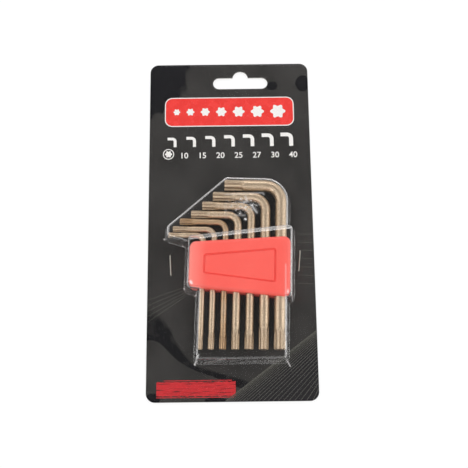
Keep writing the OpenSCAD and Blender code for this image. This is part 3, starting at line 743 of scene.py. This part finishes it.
def key_tree():
    """A rod swept along an L, drawn in to a six-lobe star with a run-out at both ends."""
    tree, ports = new_maker("star_key", {
        "Tip": "Vector", "Corner": "Vector", "Arm End": "Vector", "Rod Radius": "Float",
        "Star Radius": "Float", "Bend Radius": "Float", "Flute Length": "Float", "Neck Place": "Float",
        "Neck Depth": "Float"})
    given = add(tree, "NodeGroupInput").outputs
    index = add(tree, "GeometryNodeInputIndex")
    point = add(tree, "GeometryNodeIndexSwitch", data_type="VECTOR")
    point.index_switch_items.new()
    tree.links.new(index.outputs[0], point.inputs["Index"])
    for i, name in enumerate(("Tip", "Corner", "Arm End")):
        tree.links.new(given[name], point.inputs[1 + i])
    row = add(tree, "GeometryNodeMeshLine", {"Count": 3})
    bent = add(tree, "GeometryNodeSetPosition", {"Geometry": row, "Position": point})
    path = add(tree, "GeometryNodeMeshToCurve", {"Mesh": bent})
    path = add(tree, "GeometryNodeFilletCurve",
               {"Curve": path, "Count": BEND_RINGS, "Radius": given["Bend Radius"]}, mode="POLY")
    path = add(tree, "GeometryNodeResampleCurve", {"Curve": path, "Length": RING_STEP * MM},
               mode="LENGTH")
    path = add(tree, "GeometryNodeSetCurveNormal", {"Curve": path}, mode="Z_UP")
    spot = add(tree, "GeometryNodeSplineParameter")
    here = add(tree, "GeometryNodeInputPosition")
    total = add(tree, "GeometryNodeCurveLength", {"Curve": path})
    path = add(tree, "GeometryNodeStoreNamedAttribute",
               {"Geometry": path, "Name": "along", "Value": spot.outputs["Length"]},
               data_type="FLOAT", domain="POINT")
    path = add(tree, "GeometryNodeStoreNamedAttribute",
               {"Geometry": path, "Name": "middle", "Value": here},
               data_type="FLOAT_VECTOR", domain="POINT")
    ring = add(tree, "GeometryNodeCurvePrimitiveCircle",
               {"Resolution": RING_POINTS, "Radius": given["Rod Radius"]}, mode="RADIUS")
    ring = add(tree, "GeometryNodeStoreNamedAttribute",
               {"Geometry": ring, "Name": "around", "Value": spot.outputs["Factor"]},
               data_type="FLOAT", domain="POINT")
    tube = add(tree, "GeometryNodeCurveToMesh", {"Curve": path, "Profile Curve": ring, "Fill Caps": True})
    along = add(tree, "GeometryNodeInputNamedAttribute", {"Name": "along"}, data_type="FLOAT")
    around = add(tree, "GeometryNodeInputNamedAttribute", {"Name": "around"}, data_type="FLOAT")
    middle = add(tree, "GeometryNodeInputNamedAttribute", {"Name": "middle"}, data_type="FLOAT_VECTOR")
    left = add(tree, "ShaderNodeMath", {0: total, 1: along}, operation="SUBTRACT")
    inward = add(tree, "ShaderNodeMath", {0: along, 1: left}, operation="MINIMUM")
    run_out = add(tree, "ShaderNodeMath", {0: given["Flute Length"], 1: RUN_OUT * MM},
                  operation="SUBTRACT")
    fluted = add(tree, "ShaderNodeMapRange",
                 {"Value": inward, "From Min": run_out, "From Max": given["Flute Length"],
                  "To Min": STAR_DEPTH, "To Max": 0.0}, interpolation_type="SMOOTHSTEP")
    shoulder = add(tree, "ShaderNodeMath", {0: given["Flute Length"], 1: SHOULDER * MM})
    forged = add(tree, "ShaderNodeMapRange",
                 {"Value": inward, "From Min": given["Flute Length"], "From Max": shoulder,
                  "To Min": given["Star Radius"], "To Max": given["Rod Radius"]},
                 interpolation_type="SMOOTHSTEP")
    turn = add(tree, "ShaderNodeMath", {0: around, 1: LOBES * 2 * pi}, operation="MULTIPLY")
    wave = add(tree, "ShaderNodeMath", {0: turn}, operation="COSINE")
    valley = add(tree, "ShaderNodeMath", {0: wave, 1: -0.5, 2: 0.5}, operation="MULTIPLY_ADD")
    depth = add(tree, "ShaderNodeMath", {0: valley, 1: fluted}, operation="MULTIPLY")
    keep = add(tree, "ShaderNodeMath", {0: 1.0, 1: depth}, operation="SUBTRACT")
    radius = add(tree, "ShaderNodeMath", {0: forged, 1: keep}, operation="MULTIPLY")
    off = add(tree, "ShaderNodeMath", {0: inward, 1: given["Neck Place"]}, operation="SUBTRACT")
    off = add(tree, "ShaderNodeMath", {0: off, 1: NECK_REACH * MM}, operation="DIVIDE")
    square = add(tree, "ShaderNodeMath", {0: off, 1: off}, operation="MULTIPLY")
    fall = add(tree, "ShaderNodeMath", {0: square, 1: -1.0}, operation="MULTIPLY")
    bell = add(tree, "ShaderNodeMath", {0: fall}, operation="EXPONENT")
    neck = add(tree, "ShaderNodeMath", {0: bell, 1: given["Neck Depth"]}, operation="MULTIPLY")
    radius = add(tree, "ShaderNodeMath", {0: radius, 1: neck}, operation="SUBTRACT")
    tip = add(tree, "ShaderNodeMapRange", {"Value": inward, "From Min": 0.0, "From Max": TIP_BEVEL * MM,
                                           "To Min": TIP_SHARE, "To Max": 1.0})
    radius = add(tree, "ShaderNodeMath", {0: radius, 1: tip}, operation="MULTIPLY")
    outward = add(tree, "ShaderNodeVectorMath", {0: here, 1: middle}, operation="SUBTRACT")
    outward = add(tree, "ShaderNodeVectorMath", {0: outward}, operation="NORMALIZE")
    outward = add(tree, "ShaderNodeVectorMath", {0: outward, "Scale": radius}, operation="SCALE")
    surface = add(tree, "ShaderNodeVectorMath", {0: middle, 1: outward}, operation="ADD")
    tube = add(tree, "GeometryNodeStoreNamedAttribute",
               {"Geometry": tube, "Name": "groove", "Value": depth},
               data_type="FLOAT", domain="POINT")
    shaped = add(tree, "GeometryNodeSetPosition", {"Geometry": tube, "Position": surface})
    real = add(tree, "GeometryNodeRealizeInstances", {0: shaped})
    plated = add(tree, "GeometryNodeSetMaterial", {"Geometry": real, "Material": plating})
    add(tree, "NodeGroupOutput", {0: plated})
    return tree, ports


key_maker, key_ports = key_tree()
for size, place in places.items():
    neck_place, neck_depth = NECKED.get(size, (0.0, 0.0))
    key = grown(f"star_key_{size}", key_maker, key_ports, {
        "Tip": lay(place["u"], place["tip"], KEY_Z) * MM,
        "Corner": lay(place["u"], place["v"], KEY_Z) * MM,
        "Arm End": lay(place["end"], place["v"], KEY_Z) * MM,
        "Rod Radius": place["rod"] / 2 * MM,
        "Star Radius": place["star"] / 2 * MM,
        "Bend Radius": BEND_SHARE * place["rod"] * MM,
        "Flute Length": FLUTED[size] * MM,
        "Neck Place": neck_place * MM,
        "Neck Depth": neck_depth * MM})
    shade(key, 40)
    lengths = [0.0] * len(key.data.vertices)
    key.data.attributes["along"].data.foreach_get("value", lengths)
    whole, more = GOLDEN[size]
    tone = key.data.attributes.new("golden", "FLOAT", "POINT")
    tone.data.foreach_set("value", [whole + more * exp(-((d - GOLDEN_PLACE) / GOLDEN_REACH) ** 2)
                                    for d in lengths])
    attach(key, f"key_{size}")
    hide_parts(f"key_{size}")

# Blister: one sheet of clear PVC, vacuum formed over a block, so its walls slope and its edges are
# rounded. The flange covers the whole card, and three bays hold the short arms, the holder and the tips.
SHEET_T, FLANGE_SEAT, FLANGE_INSET, FLANGE_ROUND = 0.4, 0.1, 1.0, 4.0
DRAFT = radians(10)
BAY_GAP, ROOF_GAP, TIP_SPACE, CORE = 0.8, 0.7, 5.5, 1.5
SMALL_TOP_GAP, LARGE_TOP_GAP, HOLDER_SIDE_GAP = 3.1, 6.4, 0.9
KEY_EDGE_R, HOLDER_EDGE_R, BASE_R = 1.6, 1.4, 0.4
RAMP, RAMP_EDGE, RAMP_AHEAD = radians(28), 0.5, 0.9
BLEND = 0.8
FLANGE_TOP = FLANGE_SEAT + SHEET_T
KEY_ROOF = KEY_Z + LARGEST["wide"] / 2 + ROOF_GAP + SHEET_T
HOLDER_ROOF = HOLDER_SEAT + HOLDER_T + ROOF_GAP + SHEET_T
KEY_ROOM = BAY_GAP + SHEET_T + (KEY_Z - FLANGE_TOP) * tan(DRAFT)
HOLDER_ROOM = HOLDER_SIDE_GAP + SHEET_T + (HOLDER_T - FRONT_R - FLANGE_TOP) * tan(DRAFT)
large_bend = BEND_SHARE * LARGEST["rod"]
bend_reach = large_bend + LARGEST["rod"] / 2 - CORE
right_side = LARGEST["u"] + LARGEST["wide"] / 2 - CORE
arm_posts = [(p["end"] + CORE, p["v"] + p["rod"] / 2 - CORE) for p in places.values()]
arm_posts += [(SMALLEST["end"] + CORE, places[15]["v"]),
              (SMALLEST["end"] + CORE, SMALLEST["v"] - SMALLEST["rod"] / 2 + CORE),
              (right_side, HOLDER_V)]
arm_posts += arc(LARGEST["u"] - large_bend, LARGEST["v"] - large_bend, bend_reach, 0, 90, 6)
holder_posts = [(u, HOLDER_V + s * (tall / 2 - CORE) + (gap - HOLDER_SIDE_GAP if s > 0 else 0))
                for u, tall, gap in ((HOLDER_LEFT + CORE, HOLDER_SMALL_H, SMALL_TOP_GAP),
                                     (HOLDER_RIGHT - CORE, HOLDER_LARGE_H, LARGE_TOP_GAP))
                for s in (-1, 1)]
left_side = SMALLEST["u"] - SMALLEST["wide"] / 2 + CORE
low_side = min(p["tip"] for p in places.values()) - TIP_SPACE + CORE
tip_posts = [(left_side, HOLDER_V), (right_side, HOLDER_V), (left_side, low_side),
             (right_side, low_side + (right_side - left_side) * tan(LEAN))]
lower_edge = [lay(u, HOLDER_V - tall / 2, 0).xy
              for u, tall in ((HOLDER_LEFT, HOLDER_SMALL_H), (HOLDER_RIGHT, HOLDER_LARGE_H))]
tip_edge = lay(*tip_posts[2], 0).y
upper_start, upper_end = [lay(*holder_posts[i], 0).xy for i in (1, 3)]
upper_run = upper_end - upper_start
RAMP_REACH = CORE + HOLDER_ROOM - (KEY_ROOF - FLANGE_TOP + SHEET_T) * tan(DRAFT) + RAMP_AHEAD


class Bay:
    """One formed bay: round posts joined by walls that slope in to a roof."""

    def __init__(self, posts, room, roof, edge_r, white, ramped=False, climb=0.0, depth=0.0):
        self.ring = hull_ring([lay(u, v, 0).xy for u, v in posts])
        self.radius = CORE + room - SHEET_T * tan(DRAFT) - depth * (1 / cos(DRAFT) - tan(DRAFT))
        self.rise = roof - FLANGE_TOP
        self.climb = climb
        self.edge_r = edge_r - depth
        self.base_r = BASE_R + depth
        self.foot = self.base_r * (sin(DRAFT) - 1) / cos(DRAFT)
        self.white = white
        self.depth = depth
        self.ramped = ramped

    def steps(self):
        """Distances inside the foot's outline at which the wall's profile has a line of points."""
        foot = [self.foot + self.base_r * sin(radians(a)) for a in (0, 20, 40, 60, 80)]
        wall = [z * tan(DRAFT) for z in (0.9, 1.5, 2.0, 2.4, 2.8, 4.5, 6.0, 7.5, 8.5, 9.2)]
        edge = [self.top(rise) - self.edge_r * cos(radians(a))
                for rise in sorted({self.rise, self.rise + self.climb})
                for a in (10, 14, 18, 24, 31, 36, 41, 47, 55, 63, 71, 80, 90)]
        return foot + [d for d in wall if foot[-1] < d < edge[0]] + edge

    def roof(self, p):
        """Height of the roof over the flange: the tip bay's climbs towards the holder."""
        (x, y), (far_x, far_y) = lower_edge
        edge = y + (far_y - y) * (p.x - x) / (far_x - x)
        return self.rise + self.climb * min(1, max(0, (p.y - tip_edge) / (edge - tip_edge)))

    def top(self, rise):
        """Distance inside the foot's outline at which the wall has turned into the roof."""
        return (self.edge_r + (rise - self.edge_r) * sin(DRAFT)) / cos(DRAFT)

    def inside(self, p):
        """How far the point lies inside the foot's outline: at most the radius round the posts."""
        return self.radius - self.outward(p).length

    def outward(self, p):
        """The way from the ring of posts out to the point, or nothing inside the ring."""
        nearest, outside = None, False
        for a, b in zip(self.ring, self.ring[1:] + self.ring[:1]):
            along, off = b - a, p - a
            away = off - along * min(1, max(0, off.dot(along) / along.length_squared))
            if nearest is None or away.length < nearest.length:
                nearest = away
            outside = outside or along.x * off.y - along.y * off.x < 0
        return nearest if outside else Vector((0, 0))

    def ramp(self, p):
        """Height of the slope that comes up from the key bay's roof to this one."""
        past = RAMP_REACH - upper_run.normalized().cross(p - upper_start)
        return KEY_ROOF - FLANGE_TOP + past * tan(RAMP) - self.depth * (1 / cos(RAMP) - 1)

    def form(self, p):
        """Height of the sheet over the flange at a point."""
        z = self.height(self.inside(p), self.roof(p))
        if not self.ramped:
            return z
        slope = self.ramp(p)
        return min(z, slope) - max(0.0, RAMP_EDGE - abs(z - slope)) ** 2 / (4 * RAMP_EDGE)

    def height(self, d, rise):
        """Height of the sheet over the flange, d inside the foot's outline, with the roof at rise."""
        top = self.top(rise)
        if d <= self.foot:
            return 0.0
        if d <= self.foot + self.base_r * cos(DRAFT):
            return self.base_r - sqrt(max(0, self.base_r ** 2 - (d - self.foot) ** 2))
        if d <= top - self.edge_r * cos(DRAFT):
            return d / tan(DRAFT)
        if d <= top:
            return rise - self.edge_r + sqrt(max(0, self.edge_r ** 2 - (top - d) ** 2))
        return rise


# White: how white the roof edge is painted on the right, upper, left and lower side of the bay, a painted
# highlight strongest on the side the lamps catch
BAYS = (
    {"posts": arm_posts, "room": KEY_ROOM, "roof": KEY_ROOF, "edge_r": KEY_EDGE_R,
     "white": (0.09, 0.1, 0.1, 0.0)},
    {"posts": holder_posts, "room": HOLDER_ROOM, "roof": HOLDER_ROOF, "edge_r": HOLDER_EDGE_R,
     "white": (0.08, 0.0, 0.02, 0.0), "ramped": True},
    {"posts": tip_posts, "room": KEY_ROOM, "roof": KEY_ROOF, "edge_r": KEY_EDGE_R,
     "white": (0.08, 0.0, 0.0, 0.0), "climb": HOLDER_ROOF - KEY_ROOF},
)
bays = [Bay(**sizes) for sizes in BAYS]
hollows = [Bay(**sizes, depth=SHEET_T) for sizes in BAYS]


def sheet_height(p, forms):
    """Height over the flange where the bays run together with a small fillet, level roofs with none."""
    z = 0.0
    for bay in forms:
        other = bay.form(p)
        blend = min(BLEND, 2 * min(z, other), 2 * (HOLDER_ROOF - FLANGE_TOP - max(z, other)))
        z = max(z, other) + (max(0.0, blend - abs(z - other)) ** 2 / (4 * blend) if blend > 0 else 0.0)
    return z


# Marks: dents in the roofs, and painted glints on them and at the bays' corners, feet and edges: width,
# whiteness, then places
DENTS_AND_GLINTS = (
    (0.5, 0.12, (-2.8, 15.0), (18.6, 15.6), (19.2, 14.7)),
    (0.6, 0.16, (8.6, 13.6), (9.8, 10.6), (8.0, 10.3)),
    (0.6, 0.2, (11.6, 8.7), (14.9, 4.1)),
    (0.5, 0.1, (2.9, 2.5), (8.1, 2.3)),
    (0.4, 0.08, (-2.9, 9.5), (-2.5, 1.1)),
    (0.45, 0.6, (8.3, 0.2), (8.6, 0.0)),
    (0.35, 0.4, (5.2, 3.5), (5.4, 3.3)),
    (0.6, 0.4, (-22.4, -36.0), (-22.0, -36.8)),
    (0.6, 0.3, (31.2, -41.8), (31.2, -42.8)),
    (0.2, 0.1, (-15.0, -80.0), (-3.6, -78.6)),
    (0.2, 0.08, (4.0, -79.9), (26.0, -79.6)),
    (0.4, 0.3, (-18.2, -76.4), (-20.6, -80.2)),
    (0.35, 0.35, (-20.8, -80.3), (-20.5, -80.8)),
    (0.3, 0.25, (30.2, -78.6), (32.0, -82.0)),
    (0.22, 0.45, (-38.4, -8.6), (-38.0, -9.0)),
    (0.22, 0.35, (-27.8, -12.8), (-27.3, -13.3)),
    (0.22, 0.45, (-26.9, -37.6), (-26.5, -38.1)),
    (0.22, 0.3, (-20.8, -42.2), (-19.1, -40.7)),
    (0.22, 0.3, (33.6, -43.6), (34.0, -45.6)),
)
MARK_DENT = 0.12


def marked(p):
    """How white the sheet is painted at a point from the marks alone: their painted glints."""
    most = 0.0
    for wide, white, *path in DENTS_AND_GLINTS:
        for a, b in zip(path, path[1:]):
            start, along = Vector(a), Vector(b) - Vector(a)
            share = min(1, max(0, (p - start).dot(along) / along.length_squared))
            most = max(most, white * exp(-((p - start - along * share).length / wide) ** 2))
    return most


# Painted sheen on the ramp between the roofs: its whiteness, its rise per mm to the right, and how far above
# the key roof it starts
RAMP_PAINTED_SHEEN, RAMP_SHEEN_RIGHTWARD, RAMP_SKIP = 0.075, 0.0014, 0.1


def whitened(p):
    """How white the sheet is painted at a point: along the roof edges, on the ramp, and at the marks. Partly
    stretch whitening, mostly painted highlights and glints.
    """
    most, z = marked(p), sheet_height(p, bays)
    for bay in bays:
        away = bay.outward(p)
        d = bay.radius - away.length
        rise = bay.roof(p)
        top = bay.top(rise)
        start = top - bay.edge_r * cos(DRAFT)
        if start < d < top and bay.height(d, rise) > z - BLEND / 2 and away.length > 0:
            # Painted highlight along the roof edge, weighted by the side it faces
            side = away.normalized()
            way = (max(side.x, 0), max(side.y, 0), max(-side.x, 0), max(-side.y, 0))
            edge = sum(share ** 2 * white for share, white in zip(way, bay.white))
            most = max(most, edge * min(1, 3 * sin(pi * (d - start) / (top - start))))
        # Painted sheen on the ramp, brighter to the right
        if bay.ramped and z > KEY_ROOF - FLANGE_TOP + RAMP_SKIP and bay.ramp(p) < bay.rise:
            most = max(most, RAMP_PAINTED_SHEEN + RAMP_SHEEN_RIGHTWARD * p.x)
    return most


FLANGE_SLUMP, ROOF_SLUMP = 0.05, 0.22


def slump(p, z):
    """How far the soft sheet sank while it cooled: a little on the flange, more on the roofs."""
    wave = (sin(0.11 * p.x + 0.05 * p.y + 0.6) + sin(0.07 * p.y - 0.09 * p.x + 2.0)
            + sin(0.23 * p.x + 0.17 * p.y + 4.1)) / 3
    sunk = (FLANGE_SLUMP + (ROOF_SLUMP - FLANGE_SLUMP) * z / HOLDER_ROOF) * (wave - 1) / 2
    return sunk - (MARK_DENT * marked(p) if z > KEY_ROOF / 2 else 0.0)


LINE_STEP, GRID_STEP, MARK_STEP = 1.0, 5.0, 0.5
WALL_CLEAR, EDGE_CLEAR = 1.0, 3.0
# A bay's lines of points run on this deep under the bay that covers them
GUARD = 3.5
# Distances past the foot of the ramp, and shares of a mark's width, at which there is a line of points
RAMP_LINES = (-0.7, -0.35, 0.0, 0.35, 0.7, 1.4, 2.2, 2.6, 3.0, 3.3, 3.6, 3.9, 4.3)
MARK_LINES = (-2.4, -1.3, -0.7, -0.25, 0.25, 0.7, 1.3, 2.4)
SLOT_W, SLOT_H, HUMP_W, HUMP_RISE = 32.8, 7.4, 9.3, 4.1
SLOT_X, SLOT_Y = 6.7, 88.3
WIRE_D, CROWN, LEG_PLAY = 0.7, 12.2, 0.1
LEFT_STAPLE_GAP, LEFT_STAPLE_RISE = 8.2, 1.0
RIGHT_STAPLE_GAP, RIGHT_STAPLE_RISE = 2.7, 5.3
# Middle of each staple in the key set, and its turn
STAPLES = {
    "left": (HOLDER_LEFT - HOLDER_ROOM - LEFT_STAPLE_GAP, HOLDER_V + LEFT_STAPLE_RISE, radians(4.4)),
    "right": (HOLDER_RIGHT + HOLDER_ROOM + RIGHT_STAPLE_GAP, HOLDER_V + RIGHT_STAPLE_RISE, radians(-3.6)),
}
hump_drop = HUMP_W / 2 - HUMP_RISE
hump_edge = sqrt((HUMP_W / 2) ** 2 - hump_drop ** 2)
hump_angle = atan2(hump_drop, hump_edge) * 180 / pi
hump_y = SLOT_Y + SLOT_H / 2 - hump_drop
slot_reach = (SLOT_W - SLOT_H) / 2
slot_outline = (arc(SLOT_X + slot_reach, SLOT_Y, SLOT_H / 2, -90, 90, 14)
                + arc(SLOT_X, hump_y, HUMP_W / 2, hump_angle, 180 - hump_angle, 16)
                + arc(SLOT_X - slot_reach, SLOT_Y, SLOT_H / 2, 90, 270, 14))
half_pitch = (CROWN - WIRE_D) / 2
leg_spots = [lay(u - s * half_pitch * sin(turn), v + s * half_pitch * cos(turn), 0).xy
             for u, v, turn in STAPLES.values() for s in (-1, 1)]
leg_r = WIRE_D / 2 + LEG_PLAY
card_right, card_top = card_high.x / MM, card_high.y / MM
flange_corners = frame_corners(card_low.x / MM, card_low.y / MM, card_right, card_top,
                               FLANGE_INSET + FLANGE_ROUND)
lines = [round_outline(flange_corners, FLANGE_ROUND, 10, GRID_STEP), [Vector(p) for p in slot_outline]]
lines += [[Vector(p) for p in arc(spot.x, spot.y, leg_r, 0, 330, 11)] for spot in leg_spots]
points, links = [], []
for line in lines:
    first = len(points)
    points += [Vector(p) for p in line]
    links += [(first + i, first + (i + 1) % len(line)) for i in range(len(line))]
for bay in bays:
    for d in bay.steps():
        line = round_outline(bay.ring, bay.radius - d, 12, LINE_STEP)
        shown = [bay.height(d, bay.roof(p)) > sheet_height(p, bays) - GUARD for p in line]
        places_shown = [i for i in range(len(line)) if shown[i]]
        kept = {i: len(points) + count for count, i in enumerate(places_shown)}
        points += [line[i] for i in kept]
        links += [(kept[(i - 1) % len(line)], kept[i]) for i in kept if shown[i - 1]]
upper_out = Vector((-upper_run.y, upper_run.x)).normalized()
for off in RAMP_LINES:
    first = len(points)
    pieces = ceil(upper_run.length / LINE_STEP)
    points += [upper_start + upper_run * i / pieces + upper_out * (RAMP_REACH - off)
               for i in range(pieces + 1)]
    links += [(first + i, first + i + 1) for i in range(pieces)]
for wide, white, *path in DENTS_AND_GLINTS:
    for a, b in zip(path, path[1:]):
        start, along = Vector(a), Vector(b) - Vector(a)
        pieces = ceil(along.length / MARK_STEP)
        side = Vector((-along.y, along.x)).normalized()
        beyond = 2 * wide * along.normalized()
        length = [start + along * i / pieces for i in range(pieces + 1)]
        length = [start - beyond] + length + [start + along + beyond]
        points += [p + side * off * wide for p in length for off in MARK_LINES]
columns, rows_up = int(card_right / GRID_STEP), int(card_top / GRID_STEP)
for i in range(-columns, columns + 1):
    for j in range(-rows_up, rows_up + 1):
        p = Vector((i * GRID_STEP, j * GRID_STEP))
        depths = [bay.inside(p) for bay in bays]
        on_wall = any(bay.foot - WALL_CLEAR < d < min(bay.top(bay.roof(p)) + WALL_CLEAR, bay.radius)
                      for d, bay in zip(depths, bays))
        if not on_wall and abs(p.x) < card_right - EDGE_CLEAR and abs(p.y) < card_top - EDGE_CLEAR:
            points.append(p)
WELD = 0.01
spots, _, faces = delaunay_2d_cdt(points, links, [], 0, WELD, False)[:3]


def in_slot(p):
    """Whether the point lies in the slot's stadium or its hump."""
    across = max(abs(p.x - SLOT_X) - slot_reach, 0)
    return (across ** 2 + (p.y - SLOT_Y) ** 2 < (SLOT_H / 2) ** 2
            or (p - Vector((SLOT_X, hump_y))).length < HUMP_W / 2 and p.y > SLOT_Y)


skin = bmesh.new()
whitening_glint_layer = skin.verts.layers.float.new("whitened")
outer, inner = [], []
for p in spots:
    z = sheet_height(p, bays)
    sunk, white = slump(p, z), whitened(p)
    for side, height in ((outer, z), (inner, sheet_height(p, hollows) - SHEET_T)):
        vert = skin.verts.new(Vector((p.x, p.y, CARD_T + FLANGE_TOP + height + sunk)) * MM)
        vert[whitening_glint_layer] = white
        side.append(vert)
open_edges = set()
for corners in faces:
    centre = sum((spots[i] for i in corners), Vector((0, 0))) / len(corners)
    if not in_slot(centre) and not any((centre - spot).length < leg_r for spot in leg_spots):
        skin.faces.new([outer[i] for i in corners])
        skin.faces.new([inner[i] for i in reversed(corners)])
        for edge in zip(corners, corners[1:] + corners[:1]):
            if edge[::-1] in open_edges:
                open_edges.remove(edge[::-1])
            else:
                open_edges.add(edge)
for a, b in sorted(open_edges):
    skin.faces.new([outer[b], outer[a], inner[a], inner[b]])
for vert in [v for v in skin.verts if not v.link_faces]:
    skin.verts.remove(vert)

# Clear PVC: hardly tinted, glossy, with faint haze and a slow ripple, and pitted where the larger keys
# pressed on it. It is painted milky along the bends, on the ramp, at the marks and in flecks on the pits:
# partly stretch whitening, mostly painted highlights and glints. Lamps shine through.
pvc, tree = new_material("clear_pvc")
where = add(tree, "ShaderNodeTexCoord").outputs["Object"]
ripple = add(tree, "ShaderNodeTexNoise", {"Vector": where, "Scale": 1 / (16 * MM), "Detail": 1.0})
haze = add(tree, "ShaderNodeTexNoise", {"Vector": where, "Scale": 1 / (5 * MM), "Detail": 3.0})
wave = add(tree, "ShaderNodeBump", {"Height": ripple, "Strength": 0.2, "Distance": 0.2 * MM})
DENTED = Vector((7.5, 8.5, CARD_T + KEY_ROOF)) * MM
DENT_REACH = 1 / (13 * MM), 1 / (7 * MM), 1 / (6 * MM)
pressed = add(tree, "ShaderNodeVectorMath", {0: where, 1: DENTED}, operation="SUBTRACT")
pressed = add(tree, "ShaderNodeVectorMath", {0: pressed, 1: DENT_REACH}, operation="MULTIPLY")
pressed = add(tree, "ShaderNodeVectorMath", {0: pressed}, operation="LENGTH")
pressed = add(tree, "ShaderNodeMapRange",
              {"Value": pressed, "From Min": 0.3, "From Max": 1.0, "To Min": 1.0, "To Max": 0.0},
              interpolation_type="SMOOTHSTEP")
pitted = add(tree, "ShaderNodeTexNoise", {"Vector": where, "Scale": 1 / (1.3 * MM), "Detail": 2.0})
wave = add(tree, "ShaderNodeBump", {"Height": pitted, "Strength": pressed,
                                    "Distance": 0.5 * MM, "Normal": wave})
rough = add(tree, "ShaderNodeMapRange", {"Value": haze, "To Min": 0.015, "To Max": 0.06})
# Painted glints: white flecks on the pits where the keys pressed
painted_glint_flecks = add(tree, "ShaderNodeMapRange", {"Value": pitted, "From Min": 0.58, "From Max": 0.66,
                                          "To Max": 0.4})
painted_glint_flecks = add(tree, "ShaderNodeMath", {0: painted_glint_flecks, 1: pressed}, operation="MULTIPLY")
milky_and_glints = add(tree, "ShaderNodeAttribute", attribute_name="whitened").outputs["Fac"]
milky_and_glints = add(tree, "ShaderNodeMath", {0: milky_and_glints, 1: painted_glint_flecks}, operation="MAXIMUM")
see_through = add(tree, "ShaderNodeMath", {0: 1.0, 1: milky_and_glints}, operation="SUBTRACT")
glass = add(tree, "ShaderNodeBsdfPrincipled",
            {"Base Color": linear("#fdfcfc"), "Roughness": rough, "IOR": 1.53,
             "Transmission Weight": see_through, "Normal": wave})
clear = add(tree, "ShaderNodeBsdfTransparent", {"Color": linear("#f9f8f7")})
ray = add(tree, "ShaderNodeLightPath")
through = add(tree, "ShaderNodeMath", {0: ray.outputs["Is Shadow Ray"], 1: ray.outputs["Is Diffuse Ray"]},
              operation="MAXIMUM")
mixed = add(tree, "ShaderNodeMixShader", {0: through, 1: glass, 2: clear})
add(tree, "ShaderNodeOutputMaterial", {"Surface": mixed})
blister = new_piece("blister_sheet", skin, pvc, "cover")
shade(blister, 50)
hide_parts("blister")

# Staples: two office staples of galvanised wire, pushed through the flange and the card beside the
# holder. The wire is a little flattened, and the crown's ends turn down in tight bends.
WIRE_WIDE, WIRE_HIGH, WIRE_ROUND, WIRE_BEND = 0.7, 0.56, 0.2, 0.75

# Galvanised wire: pale dull zinc, with fine draw marks along it
zinc, tree = new_material("galvanised_wire")
where = add(tree, "ShaderNodeTexCoord").outputs["Object"]
marks = add(tree, "ShaderNodeTexNoise", {"Vector": where, "Scale": 1 / (0.6 * MM), "Detail": 3.0})
dull = add(tree, "ShaderNodeMix", {0: marks, 6: linear("#8f8c84"), 7: linear("#c6c2b8")},
           data_type="RGBA")
satin = add(tree, "ShaderNodeMapRange", {"Value": marks, "To Min": 0.3, "To Max": 0.5})
shader = add(tree, "ShaderNodeBsdfPrincipled",
             {"Base Color": dull, "Metallic": 1.0, "Roughness": satin})
add(tree, "ShaderNodeOutputMaterial", {"Surface": shader})

wire_corners = frame_corners(-WIRE_WIDE / 2, -WIRE_HIGH / 2, WIRE_WIDE / 2, WIRE_HIGH / 2, WIRE_ROUND)
section = round_outline(wire_corners, WIRE_ROUND, 30)
crown_z = FLANGE_TOP + WIRE_HIGH / 2
half_crown = (CROWN - WIRE_HIGH) / 2
staple_path = ([(-half_crown, -CARD_T)]
               + arc(-half_crown + WIRE_BEND, crown_z - WIRE_BEND, WIRE_BEND, 180, 90, 6)
               + arc(half_crown - WIRE_BEND, crown_z - WIRE_BEND, WIRE_BEND, 90, 0, 6)
               + [(half_crown, -CARD_T)])
for side, (u, v, turn) in STAPLES.items():
    wire = bmesh.new()
    rows = []
    for i, (w, z) in enumerate(staple_path):
        before = Vector(staple_path[max(i - 1, 0)])
        after = Vector(staple_path[min(i + 1, len(staple_path) - 1)])
        if 0 < i < len(staple_path) - 1:
            spread = (Vector((w, z)) - before).normalized() + (after - Vector((w, z))).normalized()
        else:
            spread = after - before
        out = Vector((-spread.y, spread.x)).normalized()
        ring = [(p.x, w + out.x * p.y, z + out.y * p.y) for p in section]
        rows.append([(u + x * cos(turn) - y * sin(turn), v + x * sin(turn) + y * cos(turn), high)
                     for x, y, high in ring])
    add_rows(wire, rows)
    bmesh.ops.recalc_face_normals(wire, faces=wire.faces[:])
    staple = new_piece(f"staple_wire_{side}", wire, zinc, "cover")
    shade(staple, 40)
    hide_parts(f"staple_{side}")
